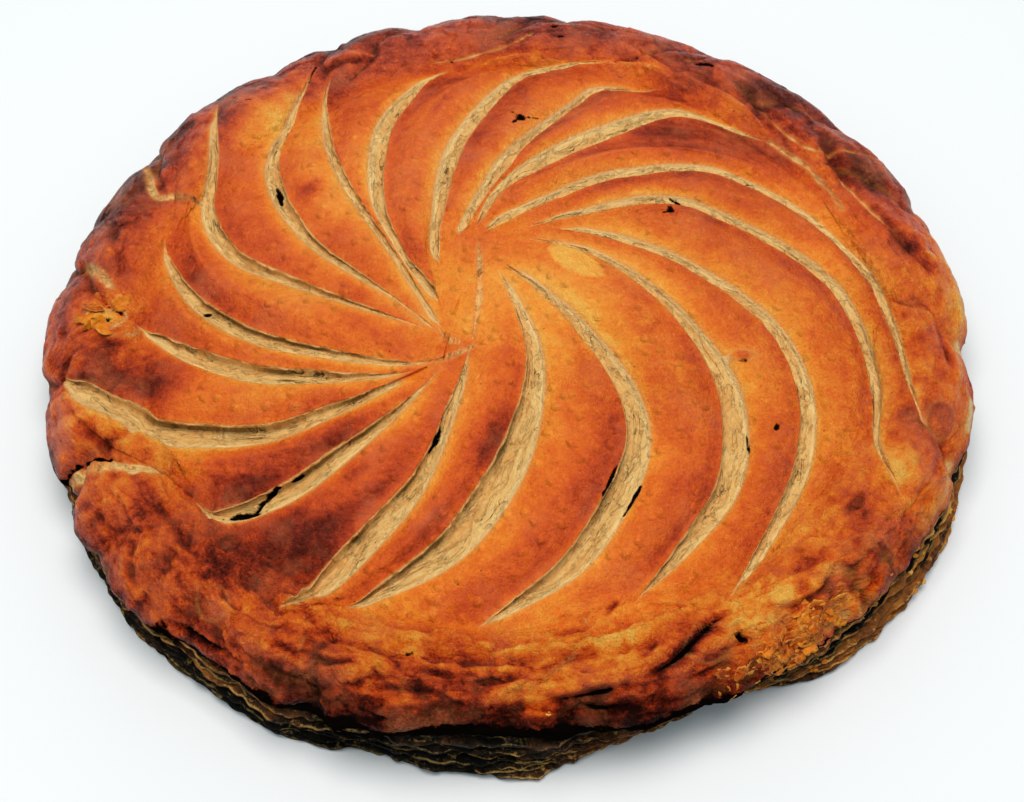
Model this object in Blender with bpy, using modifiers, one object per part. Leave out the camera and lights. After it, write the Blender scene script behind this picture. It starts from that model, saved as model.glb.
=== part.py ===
"""Galette des rois: a whole round pie of puff pastry, crown up, standing on its flat base.

One closed body.  Its faces start as a turned profile and are then moved on to a grid that
follows the baker's swirl: the grid's columns run along the knife cuts, which leave the hub
and sweep round to the sealing groove, and go on over the rolled rim and down the side.
Lengths are in millimetres up to the last step, which writes metres.
"""
import math

import bpy
import numpy as np
from mathutils import Vector, noise

MM = 0.001

# Driving dimensions of the pie.
RADIUS = 139.5          # plan radius of the rolled rim
GROOVE_RADIUS = 108.0   # sealing groove between the crown and the rim
CROWN_HEIGHT = 39.0     # top of the dome, before its pillows
GROOVE_HEIGHT = 26.5
DOME_POWER = 1.25       # how full the dome's shoulder is
ROLL_RISE = 3.0         # rim roll above the sealing groove
LIP_HEIGHT = 18.5       # where the roll ends, over the open leaves

# Flat side of the outline, where the roll stands back from the leaves under it.
FLAT_ANGLE = 274.0
FLAT_SPREAD = 33.0
FLAT_ROLL_DEPTH = 7.0
FLAT_LEAF_DEPTH = 2.5

# Swirl.  Each knife cut is a smooth stroke from the hub to the sealing groove: its points
# in plan, and the angle in degrees at which it meets the groove.  They go round anticlockwise.
HUB = (-12.0, -1.0)
CUTS = (
    (((-3, 31), (21, 44), (61, 56), (90, 41)), 8),
    (((-9, 31), (4, 50), (29, 70), (52, 82)), 47),
    (((-14, 29), (-3, 51), (11, 74), (24, 91)), 67),
    (((-19, 22), (-20, 48), (-15, 70), (-4, 92)), 84),
    (((-23, 6), (-40, 39), (-41, 70), (-34, 91)), 101),
    (((-27, -2), (-43, 31), (-56, 60), (-61, 80)), 124),
    (((-31, -8), (-56, 18), (-73, 47), (-74, 72)), 131),
    (((-34, -14), (-61, 3), (-85, 22), (-94, 45)), 149),
    (((-35, -22), (-61, -19), (-83, -7), (-96, 6)), 168),
    (((-35, -28), (-61, -29), (-83, -24), (-97, -17)), 185),
    (((-32, -33), (-61, -44), (-81, -47), (-92, -44)), 201),
    (((-25, -36), (-44, -53), (-63, -67), (-75, -72)), 219),
    (((-12, -26), (-16, -40), (-24, -63), (-38, -81)), 240),
    (((1, -12), (7, -32), (-1, -62), (-16, -84)), 247),
    (((7, 2), (29, -28), (35, -54), (22, -82)), 265),
    (((11, 18), (42, 1), (61, -29), (59, -66)), 286),
    (((9, 24), (38, 20), (68, 0), (84, -38)), 308),
    (((4, 29), (29, 37), (68, 34), (95, 12)), 343),
)
CUT_HALF_WIDTH = 2.6
CUT_DEPTH = 3.0
CUT_FADE_IN = 0.22      # share of a cut over which it deepens from the hub
CUT_FADE_OUT = 0.12
PILLOW_RISE = 2.4       # puffed pastry between two cuts
LIP_SHARE = 0.24        # most of a petal's width that a cut's lip may take

# Rim: thumb notches, each with its angle in degrees and its depth.
NOTCHES = (
    (20, 3.0), (40, 2.0), (60, 3.0), (82, 2.0), (104, 3.5), (117, 1.5), (149, 2.5),
    (170, 3.5), (190, 2.0), (204, 4.5), (215, 2.0), (248, 3.0), (313, 3.0), (338, 2.0),
    (356, 4.0),
)
NOTCH_SPREAD = 3.6      # degrees

# Side: rings from the roll's lip down to the base, each a height, a set-back from the
# outline, and whether it follows the roll's outline (0) or the leaves' (1).
SIDE_RINGS = (
    (LIP_HEIGHT, 0.0, 0.0), (14.6, 4.6, 0.4), (12.0, 0.8, 1.0), (10.2, 4.0, 1.0),
    (8.2, 0.0, 1.0), (6.2, 3.4, 1.0), (4.4, 0.3, 1.0), (2.6, 3.0, 1.0), (1.3, 0.9, 1.0),
    (0.0, 2.6, 1.0),
)
LEAF_RAGGEDNESS = 2.2
LEAF_WAVE = 1.6         # how far the leaves rise and dip together round the side
LEAF_CLEARANCE = 1.6    # leaves stand back from the roll's outline on the round sides

# Grid.
HUB_RINGS = 3
PETAL_RINGS = 15
ROLL_SHARES = (0.14, 0.34, 0.56, 0.76, 0.9)
COLUMNS = 126
MIN_COLUMNS = 5

CRUST_COLOUR = (0.56, 0.19, 0.045, 1.0)
CRUST_ROUGHNESS = 0.38


def smooth(value):
    value = min(max(value, 0.0), 1.0)
    return value * value * (3.0 - 2.0 * value)


def angle_gap(first, second):
    """Smallest difference of two angles in degrees."""
    return (first - second + 180.0) % 360.0 - 180.0


def polar(radius, degrees):
    angle = math.radians(degrees)
    return radius * math.cos(angle), radius * math.sin(angle)


def catmull_rom(points, share):
    """Point of a smooth curve through the points, at a share of its spans."""
    spans = len(points) - 1
    place = min(share * spans, spans - 1e-6)
    span = int(place)
    part = place - span
    before = points[max(span - 1, 0)]
    start, end = points[span], points[span + 1]
    after = points[min(span + 2, spans)]
    result = []
    for p0, p1, p2, p3 in zip(before, start, end, after):
        linear = (p2 - p0) * part
        square = (2 * p0 - 5 * p1 + 4 * p2 - p3) * part ** 2
        cube = (3 * p1 - p0 - 3 * p2 + p3) * part ** 3
        result.append(0.5 * (2 * p1 + linear + square + cube))
    return tuple(result)


def flat_side(degrees):
    return math.exp(-(angle_gap(degrees, FLAT_ANGLE) / FLAT_SPREAD) ** 2)


def notch_depth(degrees):
    total = 0.0
    for angle, depth in NOTCHES:
        total += depth * math.exp(-(angle_gap(degrees, angle) / NOTCH_SPREAD) ** 2)
    return total


def ripple(degrees, row, scale):
    """Even noise round the pie, between about -1 and 1."""
    x, y = polar(scale, degrees)
    return noise.noise(Vector((x, y, 7.3 * row)))


def roll_radius(degrees):
    flat = FLAT_ROLL_DEPTH * flat_side(degrees)
    return RADIUS - flat - notch_depth(degrees) + 0.8 * ripple(degrees, 1, 6.0)


def leaf_radius(degrees, row):
    flat = FLAT_LEAF_DEPTH * flat_side(degrees)
    ragged = LEAF_RAGGEDNESS * ripple(degrees, row, 14.0)
    return RADIUS - LEAF_CLEARANCE - flat + ragged


def crown_height(x, y):
    share = min(math.hypot(x, y) / GROOVE_RADIUS, 1.0)
    fullness = (1.0 - share * share) ** DOME_POWER
    return GROOVE_HEIGHT + (CROWN_HEIGHT - GROOVE_HEIGHT) * fullness


def roll_height(share, degrees):
    """Height across the rim roll, share 0 at the sealing groove and 1 at the lip."""
    rise = ROLL_RISE * math.sin(math.pi * min(share / 0.72, 1.0)) ** 1.5
    fall = (GROOVE_HEIGHT - LIP_HEIGHT) * max(share - 0.45, 0.0) ** 2 / 0.55 ** 2
    dent = 0.5 * notch_depth(degrees) * math.sin(math.pi * share)
    return GROOVE_HEIGHT + rise - fall - dent


def stroke(cut):
    """A cut's points in plan, with its end on the sealing groove."""
    points, groove_angle = cut
    return points + (polar(GROOVE_RADIUS, groove_angle),)


STROKES = tuple(stroke(cut) for cut in CUTS)


def petal_columns():
    """Columns of the grid for each petal, shared out by the petal's width at the groove."""
    angles = [cut[1] for cut in CUTS]
    widths = [(angles[(k + 1) % len(CUTS)] - angles[k]) % 360 for k in range(len(CUTS))]
    spare = COLUMNS - MIN_COLUMNS * len(CUTS)
    counts = [MIN_COLUMNS + int(spare * width / 360) for width in widths]
    order = sorted(range(len(CUTS)), key=lambda k: widths[k] / counts[k], reverse=True)
    for k in order[:COLUMNS - sum(counts)]:
        counts[k] += 1
    return counts


def column_places():
    """For each column, its petal and its number and count in that petal."""
    places = []
    for petal, count in enumerate(petal_columns()):
        places += [(petal, number, count) for number in range(count)]
    return places


PLACES = column_places()


def petal_point(share, place):
    """Plan point of a petal column, and its share of the way across the petal."""
    petal, number, count = place
    centre = (HUB[0] * (1.0 - share), HUB[1] * (1.0 - share))
    ends = []
    for index in (petal, (petal + 1) % len(STROKES)):
        x, y = catmull_rom(STROKES[index], share)
        dx, dy = x - centre[0], y - centre[1]
        ends.append((math.hypot(dx, dy), math.degrees(math.atan2(dy, dx))))
    turn = (ends[1][1] - ends[0][1]) % 360.0
    gap = max(ends[0][0] * math.radians(turn), 1.0)
    lip = min(CUT_HALF_WIDTH / gap, LIP_SHARE)
    across = 0.0
    if number:
        across = lip + (1.0 - 2.0 * lip) * (number - 1) / (count - 2)
    radius = ends[0][0] * (1.0 - across) + ends[1][0] * across
    x, y = polar(radius, ends[0][1] + turn * across)
    return centre[0] + x, centre[1] + y, across


def petal_relief(share, across):
    """Height of a petal over the plain dome: its pillow, and the cut's floor at across 0."""
    depth = smooth(share / CUT_FADE_IN) * (1.0 - 0.6 * smooth((share - 1.0) / CUT_FADE_OUT + 1.0))
    if across == 0.0:
        return -CUT_DEPTH * depth
    end = 1.0 - 0.8 * smooth((share - 0.8) / 0.2)
    return PILLOW_RISE * depth * end * math.sin(math.pi * across) ** 0.8


def hub_point(ring, place):
    """A point inside the hub, on the way from its middle to the cuts' starts."""
    x, y, _ = petal_point(0.0, place)
    share = ring / HUB_RINGS
    x = HUB[0] + (x - HUB[0]) * share
    y = HUB[1] + (y - HUB[1]) * share
    return x, y, crown_height(x, y)


def crown_point(ring, place):
    share = ring / PETAL_RINGS
    x, y, across = petal_point(share, place)
    return x, y, crown_height(x, y) + petal_relief(share, across)


def groove_angle(place):
    x, y, _ = petal_point(1.0, place)
    return math.degrees(math.atan2(y, x))


def roll_point(share, place):
    degrees = groove_angle(place)
    reach = roll_radius(degrees) - GROOVE_RADIUS
    x, y = polar(GROOVE_RADIUS + reach * share ** 0.9, degrees)
    return x, y, roll_height(share, degrees)


def side_point(ring, place):
    height, set_back, leafy = SIDE_RINGS[ring]
    degrees = groove_angle(place)
    radius = roll_radius(degrees) * (1.0 - leafy) + leaf_radius(degrees, ring) * leafy
    x, y = polar(radius - set_back, degrees)
    wave = LEAF_WAVE * ripple(degrees, 20, 4.0) * height / LIP_HEIGHT
    return x, y, height + wave


def grid_points():
    """The makers of the grid's rings, from the hub's middle over the rim to the base."""
    rings = [(hub_point, ring) for ring in range(HUB_RINGS)]
    rings += [(crown_point, ring) for ring in range(PETAL_RINGS + 1)]
    rings += [(roll_point, share) for share in ROLL_SHARES]
    rings += [(side_point, ring) for ring in range(len(SIDE_RINGS))]
    return rings


def turned_body(ring_count):
    """A plain turned body with one ring of vertices for each ring of the grid."""
    radii = [RADIUS * math.sin(math.pi * ring / ring_count) for ring in range(ring_count + 1)]
    heights = [RADIUS * math.cos(math.pi * ring / ring_count) for ring in range(ring_count + 1)]
    radii[0] = radii[-1] = 0.0
    vertices = [(radius * MM, 0.0, height * MM) for radius, height in zip(radii, heights)]
    edges = [(ring, ring + 1) for ring in range(ring_count)]
    profile = bpy.data.meshes.new("profile")
    profile.from_pydata(vertices, edges, [])
    turned = bpy.data.objects.new("profile", profile)
    bpy.context.scene.collection.objects.link(turned)
    screw = turned.modifiers.new("turn", "SCREW")
    screw.steps = COLUMNS
    screw.render_steps = COLUMNS
    screw.use_merge_vertices = True
    screw.merge_threshold = 0.0001
    graph = bpy.context.evaluated_depsgraph_get()
    mesh = bpy.data.meshes.new_from_object(turned.evaluated_get(graph))
    bpy.data.objects.remove(turned)
    return mesh


def shape_body(mesh):
    """Move each vertex of the turned body to its place on the pie."""
    rings = grid_points()
    ring_count = len(rings)
    count = len(mesh.vertices)
    flat = np.empty(count * 3, dtype=np.float32)
    mesh.vertices.foreach_get("co", flat)
    points = flat.reshape(count, 3).astype(float)
    for vertex in range(count):
        x, y, z = points[vertex]
        down = math.atan2(math.hypot(x, y), z) / math.pi
        ring = round(down * ring_count)
        column = round(math.degrees(math.atan2(y, x)) / 360.0 * COLUMNS) % COLUMNS
        if ring == ring_count:
            points[vertex] = (0.0, 0.0, 0.0)
        else:
            make_point, argument = rings[ring]
            points[vertex] = make_point(argument, PLACES[column])
    middle = 0.5 * (points.min(axis=0) + points.max(axis=0))
    points[:, :2] -= middle[:2]
    mesh.vertices.foreach_set("co", (points * MM).astype(np.float32).ravel())
    mesh.update()


def crust_material():
    material = bpy.data.materials.new("crust")
    material.use_nodes = True
    shader = material.node_tree.nodes["Principled BSDF"]
    shader.inputs["Base Color"].default_value = CRUST_COLOUR
    shader.inputs["Roughness"].default_value = CRUST_ROUGHNESS
    shader.inputs["Metallic"].default_value = 0.0
    return material


def make_galette():
    collection = bpy.data.collections.new("galette des rois")
    bpy.context.scene.collection.children.link(collection)
    mesh = turned_body(len(grid_points()))
    shape_body(mesh)
    mesh.name = "galette"
    mesh.materials.clear()
    mesh.materials.append(crust_material())
    mesh.shade_smooth()
    mesh.set_sharp_from_angle(angle=math.radians(50.0))
    galette = bpy.data.objects.new("galette", mesh)
    collection.objects.link(galette)


for old in list(bpy.data.objects):
    bpy.data.objects.remove(old)
make_galette()
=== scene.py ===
"""Looks of a galette des rois: glazed swirl-cut crust, open cuts, flaky side leaves."""

import math

import bmesh
import bpy
import numpy as np
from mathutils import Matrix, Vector


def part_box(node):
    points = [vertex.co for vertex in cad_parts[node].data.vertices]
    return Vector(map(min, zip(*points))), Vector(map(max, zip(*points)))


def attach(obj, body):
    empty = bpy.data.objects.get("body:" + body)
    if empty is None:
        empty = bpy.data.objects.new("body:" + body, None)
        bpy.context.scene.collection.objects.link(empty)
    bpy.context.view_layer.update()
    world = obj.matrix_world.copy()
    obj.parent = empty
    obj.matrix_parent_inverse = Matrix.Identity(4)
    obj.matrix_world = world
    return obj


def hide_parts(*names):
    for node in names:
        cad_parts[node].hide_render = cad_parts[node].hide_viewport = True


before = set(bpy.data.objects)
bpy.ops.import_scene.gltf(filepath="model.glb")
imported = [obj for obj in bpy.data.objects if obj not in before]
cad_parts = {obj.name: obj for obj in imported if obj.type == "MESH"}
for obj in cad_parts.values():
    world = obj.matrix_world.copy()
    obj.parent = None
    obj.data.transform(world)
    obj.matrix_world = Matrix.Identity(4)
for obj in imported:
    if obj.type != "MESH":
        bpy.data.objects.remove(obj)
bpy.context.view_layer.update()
LOW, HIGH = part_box("galette")

# The pie is drawn in millimetres, seen from above, then put on the frame.
DRAWN_WIDTH = 278.5
MM = (HIGH.x - LOW.x) / DRAWN_WIDTH
SWIRL = np.array((-14.0, 0.0))

# ---------------------------------------------------------------- driving shapes

NEAR_SIDE = 262.0        # angles round the pie: the side with the most open leaves,
LIP_MIDDLE = 266.0       # the middle of its raised lip,
TORN_SIDE = 309.0        # and where the rim has torn into flakes
GROOVE = 108.0           # sealing groove between crown and rim
GROOVE_Z = 27.0
CROWN_RISE = 11.5
CROWN_POWER = 1.25
ROLL_RADIUS = 138.8      # the rim roll's lip, before its dips
LEAF_RADIUS = 139.3

# Knife cuts, going round anticlockwise: plan points from the hub out, open widths at
# one, two, three and four fifths of the cut, and the share of the cut where it opens.
CUTS = (
    ("g", ((-10, 21.5), (3, 32), (21, 44), (40, 52), (61, 55.6), (81, 48), (98, 33),
           (109, 14), (113.5, -10), (115.6, -34), (122, -48)), (3.2, 2.7, 2, 1.9), 0),
    ("h", ((-11, 23), (-3, 42), (12, 57), (29, 70), (51, 84), (68, 81),
           (84, 72)), (4, 6.6, 5.8, 2.6), 0),
    ("i", ((-16, 21), (-8, 41), (1, 59), (11, 74), (22, 88), (30, 96), (52, 98)),
     (6, 3.3, 2, 1.5), 0),
    ("j", ((-20.5, 9), (-22.5, 18), (-22, 30), (-18, 59), (-10, 81), (3, 102), (19, 108),
           (36, 108)),
     (3.4, 4.8, 4.4, 1.9), 0),
    ("k", ((-18.5, -15.5), (-21.5, -3), (-26, 5), (-33, 17), (-40.6, 39), (-41.7, 61), (-39, 79),
           (-28, 101), (-20, 107)), (1.5, 3.5, 5, 4.5), 0.07),
    ("l", ((-18.8, -16.2), (-24, -6), (-32, 10), (-43, 31), (-52, 50), (-58, 68), (-61, 88),
           (-60.8, 95), (-59.6, 103)), (1.5, 2, 2.3, 1.8), 0),
    ("m", ((-19, -16.9), (-24, -12), (-34, -2), (-56, 18), (-69, 38), (-75, 56), (-74, 72),
           (-69, 92), (-64.6, 107)), (1.2, 3, 4.2, 1.9), 0),
    ("n", ((-19, -17.5), (-28, -12), (-50, -1.5), (-70, 10), (-85, 22), (-94, 40),
           (-94.6, 60), (-95.7, 79), (-96.3, 93)), (1.5, 3.2, 4.2, 2.3), 0),
    ("o", ((-19, -24), (-28, -26), (-50, -22), (-72, -14), (-92, 1), (-104, 20),
           (-107, 31)), (2, 3.5, 4.2, 3), 0),
    ("p", ((-19, -24.6), (-30, -29), (-50, -30), (-72, -27), (-90, -18.8), (-101, -12),
           (-111.5, -4.4)), (1.5, 4.5, 5.6, 4.6), 0.08),
    ("q", ((-18.9, -25.2), (-30, -31), (-50, -41), (-70, -47), (-92, -45), (-106, -40.5),
           (-120, -32.2), (-131, -22.5)), (2.5, 5, 7, 5.6), 0.08),
    ("r", ((-18, -25.6), (-29, -39), (-44, -53), (-63, -67), (-79, -72), (-87, -68)),
     (1.5, 4, 6, 5), 0),
    ("a", ((-10.6, -17.8), (-16, -40), (-24.4, -63), (-38, -81), (-53, -97), (-61, -102)),
     (2, 3.5, 6.5, 6.5), 0),
    ("b", ((-5, 11), (2.2, -6.7), (6.7, -23), (5.6, -41), (-1, -62), (-15.6, -84),
           (-35.6, -97), (-44, -101)), (3, 6.5, 9.5, 7.5), 0),
    ("c", ((-5, 13), (7.8, 1), (22, -17), (33, -37), (35, -54), (28, -72), (14.4, -91),
           (-9, -107)), (3, 5, 7, 6), 0),
    ("d", ((0, 21), (18, 18), (33, 9), (50, -9), (61, -29), (63, -48), (59, -66),
           (47, -83), (33, -99)), (2, 4, 7, 5.5), 0),
    ("e", ((0, 21.7), (12, 25.6), (29, 23), (53, 12), (76, -8), (84, -29), (83, -49),
           (75.6, -69), (57, -100)), (2, 3.5, 4.5, 4), 0.06),
    ("f", ((0, 22.5), (20, 32), (50, 39.4), (74, 29), (92, 16), (102, -2), (105.6, -28),
           (103, -51), (108, -70)), (2.5, 3.3, 3.5, 2.2), 0),
)

# Where a cut gapes more: share of the way along, added width and spread.
BULGES = {"g": (0.05, 3.0, 0.035), "i": (0.10, 2.6, 0.09), "j": (0.06, 1.6, 0.06),
          "k": (0.15, 1.8, 0.06), "l": (0.05, 0.9, 0.05), "m": (0.04, 0.7, 0.04),
          "q": (0.90, 2.6, 0.07)}

# Thumb notches of the rim: angle in degrees, depth, slant over the roll in degrees.
NOTCHES = (
    (20, 2.2, 14), (38, 1.8, 16), (60, 2.2, 14), (82, 1.5, 18), (104, 2.6, 16), (117, 1.2, 8),
    (127, 0.9, -3), (150, 2, 9), (173, 2.6, 9), (190, 1.8, 6), (204, 4, -3), (216, 1.2, 6),
    (230, 0.8, -5), (247, 2, 2), (262, 0.6, 5), (277, 0.7, -5), (313, 0.7, 6), (338, 1.3, 5),
    (357, 2.2, 8),
)

# Where the roll's lip and the leaves under it sit higher, and where the leaves rise
# nearer to the lip: angle, rise, spread.
LIP_RISES = ((LIP_MIDDLE, 2.6, 17),)
LEAF_RISES = ((322, 2.4, 24),)

# Dips of the two outlines: angle, depth, spread in degrees.
ROLL_DIPS = ((234, 2.4, 8), (272, 5.6, 17), (297, 3.2, 8), (318, 4.6, 20), (357, 1.6, 8),
             (8, 1, 12))
LEAF_DIPS = ((255, 4.6, 8), (269, 2.4, 7), (281, 4, 6), (294, 12, 12),
             (334, -1.6, 16))

# Grid.
CROWN_RINGS = 200
HUB_RINGS = 14
RIM_RINGS = 108
CUT_COLUMNS = 14
SHARP_COLUMNS = 2        # columns of a cut that make its sharp lip,
SOFT_COLUMNS = 3         # and those that make its soft one
COLUMN_STEP = 1.02       # about the width of a column between the cuts, in mm
SECTORS = 4              # meshes that the crust is made in

# ---------------------------------------------------------------- number tools


def smooth(value):
    """From 0 to 1 with soft ends, and held beyond them."""
    value = np.clip(value, 0.0, 1.0)
    return value * value * (3.0 - 2.0 * value)


def terrace(value, steps, slope=0.3):
    """The value in flat steps with short slopes between, like flaking layers."""
    scaled = value * steps
    whole = np.floor(scaled)
    return (whole + smooth((scaled - whole - 1.0 + slope) / slope)) / steps


def blur(values, rings, columns):
    """Mean over a small patch of the grid, which is joined up round the pie."""
    padded = np.pad(values, ((rings, rings), (0, 0)), mode="edge")
    total = np.zeros_like(values)
    for shift in range(2 * rings + 1):
        total += padded[shift:shift + values.shape[0]]
    values = total / (2 * rings + 1)
    total = np.zeros_like(values)
    for shift in range(-columns, columns + 1):
        total += np.roll(values, shift, axis=1)
    return total / (2 * columns + 1)


def bell(distance, width):
    """1 at no distance, falling off to either side."""
    return np.exp(-(distance / width) ** 2)


def wrap(degrees):
    """The same angle from -180 to 180."""
    return (degrees + 180.0) % 360.0 - 180.0


def lattice(i, j, k, seed):
    """Repeatable values from 0 to 1 at whole-number points."""
    mask = np.int64(0xFFFFFFFF)
    mixed = (i * 374761393 + j * 668265263 + k * 1103515245 + seed * 2654435761) & mask
    mixed = ((mixed ^ (mixed >> 13)) * 1274126177) & mask
    mixed = ((mixed ^ (mixed >> 16)) * 2246822519) & mask
    return ((mixed ^ (mixed >> 15)) & np.int64(0xFFFF)) / 65535.0


def noise(points, size, seed):
    """Smooth noise from -1 to 1 with lumps of about the given size."""
    place = points / size
    cell = np.floor(place).astype(np.int64)
    part = place - cell
    part = part ** 3 * (part * (part * 6.0 - 15.0) + 10.0)
    i, j, k = cell[..., 0], cell[..., 1], cell[..., 2]
    u, v, w = part[..., 0], part[..., 1], part[..., 2]
    total = 0.0
    for di, wu in ((0, 1.0 - u), (1, u)):
        for dj, wv in ((0, 1.0 - v), (1, v)):
            for dk, ww in ((0, 1.0 - w), (1, w)):
                total = total + lattice(i + di, j + dj, k + dk, seed) * wu * wv * ww
    return 2.0 * total - 1.0


def layered(points, size, seed, octaves, step, shape):
    """Noise of halving sizes added up, each passed through a shape."""
    total, weight, most = 0.0, 1.0, 0.0
    for octave in range(octaves):
        sample = noise(points, size / 2 ** octave, seed + step * octave)
        total = total + weight * shape(sample)
        most += weight
        weight *= 0.5
    return total / most


def clouds(points, size, seed, octaves=3):
    """Soft noise from -1 to 1 in several sizes."""
    return layered(points, size, seed, octaves, 17, lambda sample: sample)


def ridges(points, size, seed, octaves=2):
    """Like clouds, but with narrow crests from 1 down to -1."""
    return layered(points, size, seed, octaves, 31, lambda sample: 1.0 - 2.0 * np.abs(sample))


def plates(u, v, around, seed):
    """Flat tilted plates side by side: height, distance to the next one, and a tone."""
    i, j = np.floor(u).astype(np.int64), np.floor(v).astype(np.int64)
    best, second = np.full(u.shape, 99.0), np.full(u.shape, 99.0)
    height, tone = np.zeros(u.shape), np.zeros(u.shape)
    for di in (-1, 0, 1):
        for dj in (-1, 0, 1):
            row, column = j + dj, (i + di) % around
            dx = u - (i + di + 0.15 + 0.7 * lattice(column, row, 0, seed))
            dy = v - (row + 0.15 + 0.7 * lattice(column, row, 1, seed))
            gap = np.hypot(dx, dy)
            own = lattice(column, row, 4, seed) - 0.5
            tilt_x = lattice(column, row, 2, seed) - 0.5
            tilt_y = lattice(column, row, 3, seed) - 0.5
            closer = gap < best
            second = np.where(closer, best, np.minimum(second, gap))
            height = np.where(closer, own + 1.6 * (tilt_x * dx + tilt_y * dy), height)
            tone = np.where(closer, own, tone)
            best = np.where(closer, gap, best)
    return height, second - best, tone


def spline(points, count):
    """Points at even steps along a smooth curve through the given ones."""
    points = np.array(points, float)
    padded = np.vstack((2 * points[0] - points[1], points, 2 * points[-1] - points[-2]))
    fine = []
    steps = np.linspace(0.0, 1.0, 40, endpoint=False)[:, None]
    for index in range(len(points) - 1):
        p0, p1, p2, p3 = padded[index:index + 4]
        fine.append(0.5 * (2 * p1 + (p2 - p0) * steps
                           + (2 * p0 - 5 * p1 + 4 * p2 - p3) * steps ** 2
                           + (3 * p1 - p0 - 3 * p2 + p3) * steps ** 3))
    fine = np.vstack(fine + [points[-1:]])
    run = np.concatenate(((0.0,), np.cumsum(np.linalg.norm(np.diff(fine, axis=0), axis=1))))
    wanted = np.linspace(0.0, run[-1], count)
    columns = [np.interp(wanted, run, fine[:, axis]) for axis in range(points.shape[1])]
    return np.stack(columns, axis=1), run[-1]


def dips(degrees, rows):
    """Sum of bells round the pie, from rows of angle, depth and spread."""
    total = 0.0
    for angle, depth, spread in rows:
        total = total + depth * bell(wrap(degrees - angle), spread)
    return total


# ---------------------------------------------------------------- plain surface

# Cross-section of the rim roll: share of the way from groove to lip, and height.
ROLL_SECTION = ((0, 27), (0.18, 28.7), (0.36, 29.7), (0.55, 29.2), (0.73, 27.2),
                (0.88, 24), (0.965, 20.8), (1, 18.2), (0.985, 16.2), (0.93, 14.8),
                (0.82, 13.9), (0.62, 13.4))
ROLL_SPAN = 31.0
SECTION_POINTS = 400
SECTION, SECTION_RUN = spline([(share * ROLL_SPAN, z) for share, z in ROLL_SECTION],
                              SECTION_POINTS)
SECTION_PLACE = np.linspace(0.0, SECTION_RUN, SECTION_POINTS)


def ring_noise(degrees, size, seed):
    """Noise round the pie, with lumps of about the given size in mm."""
    angle = np.radians(degrees)
    circle = np.stack((np.cos(angle), np.sin(angle), 0.0 * angle), axis=-1) * 130.0
    return noise(circle, size, seed)


def notch_pull(degrees):
    """How far the thumb notches draw the roll's lip in."""
    total = 0.0
    for angle, depth, _ in NOTCHES:
        total = total + depth * bell(wrap(degrees - angle), 2.6)
    return total


def roll_radius(degrees):
    """Plan radius of the roll's lip."""
    wobble = 0.7 * ring_noise(degrees, 40.0, 3) + 0.35 * ring_noise(degrees, 12.0, 4)
    return ROLL_RADIUS - dips(degrees, ROLL_DIPS) - 0.8 * notch_pull(degrees) + wobble


def plain_surface(reach, degrees):
    """Points of the pie without relief: reach is the way out from the middle along it."""
    out = np.clip(reach - GROOVE, 0.0, SECTION_RUN)
    span = roll_radius(degrees) - GROOVE
    share = np.interp(out, SECTION_PLACE, SECTION[:, 0]) / ROLL_SPAN
    radius = np.where(reach <= GROOVE, reach, GROOVE + share * span)
    rise = np.clip(1.0 - (np.minimum(reach, GROOVE) / GROOVE) ** 2, 0.0, 1.0)
    height = np.where(reach <= GROOVE, GROOVE_Z + CROWN_RISE * rise ** CROWN_POWER,
                      np.interp(out, SECTION_PLACE, SECTION[:, 1]))
    height = height + dips(degrees, LIP_RISES) * smooth((reach - 122.0) / 20.0)
    angle = np.radians(degrees)
    return np.stack((radius * np.cos(angle), radius * np.sin(angle), height), axis=-1)


# ---------------------------------------------------------------- swirl grid


class Cut:
    """One knife cut: its line, the sideways direction and its open width along it."""

    def __init__(self, name, points, widths, opens):
        self.line, self.length = spline(points, CROWN_RINGS + 1)
        along = np.gradient(self.line, axis=0)
        along /= np.linalg.norm(along, axis=1)[:, None]
        self.side = np.stack((-along[:, 1], along[:, 0]), axis=1)  # anticlockwise side
        share = np.linspace(0.0, 1.0, CROWN_RINGS + 1)
        stops = [(0.0, 0.0)] + [(0.2 * (n + 1), w) for n, w in enumerate(widths)]
        curve, _ = spline(stops + [(1.0, 0.0)], 300)
        self.width = np.interp(share, curve[:, 0], curve[:, 1])
        place, more, spread = BULGES.get(name, (0.0, 0.0, 1.0))
        self.width += more * bell(share - place, spread) * smooth((1.0 - share) / 0.03)
        self.width *= smooth((share - opens) / 0.06)


def nearest(line, others):
    """Distance from each point of a line to the nearest point of another."""
    gaps = np.linalg.norm(line[:, None, :] - others[None, :, :], axis=2)
    return gaps.min(axis=1)


def make_cuts():
    """The cuts, no wider than the room between their neighbours allows."""
    cuts = [Cut(*row) for row in CUTS]
    for index, cut in enumerate(cuts):
        before, after = cuts[index - 1], cuts[(index + 1) % len(cuts)]
        room = np.minimum(nearest(cut.line, before.line), nearest(cut.line, after.line))
        cut.width = np.minimum(cut.width, 0.7 * room)
        cut.half = np.maximum(0.5 * cut.width, np.minimum(0.35, 0.2 * room + 0.01))
    return cuts


def polar_about(points, centre):
    """Distance and angle of plan points about a centre."""
    away = points - centre
    return np.hypot(away[:, 0], away[:, 1]), np.degrees(np.arctan2(away[:, 1], away[:, 0]))


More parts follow.
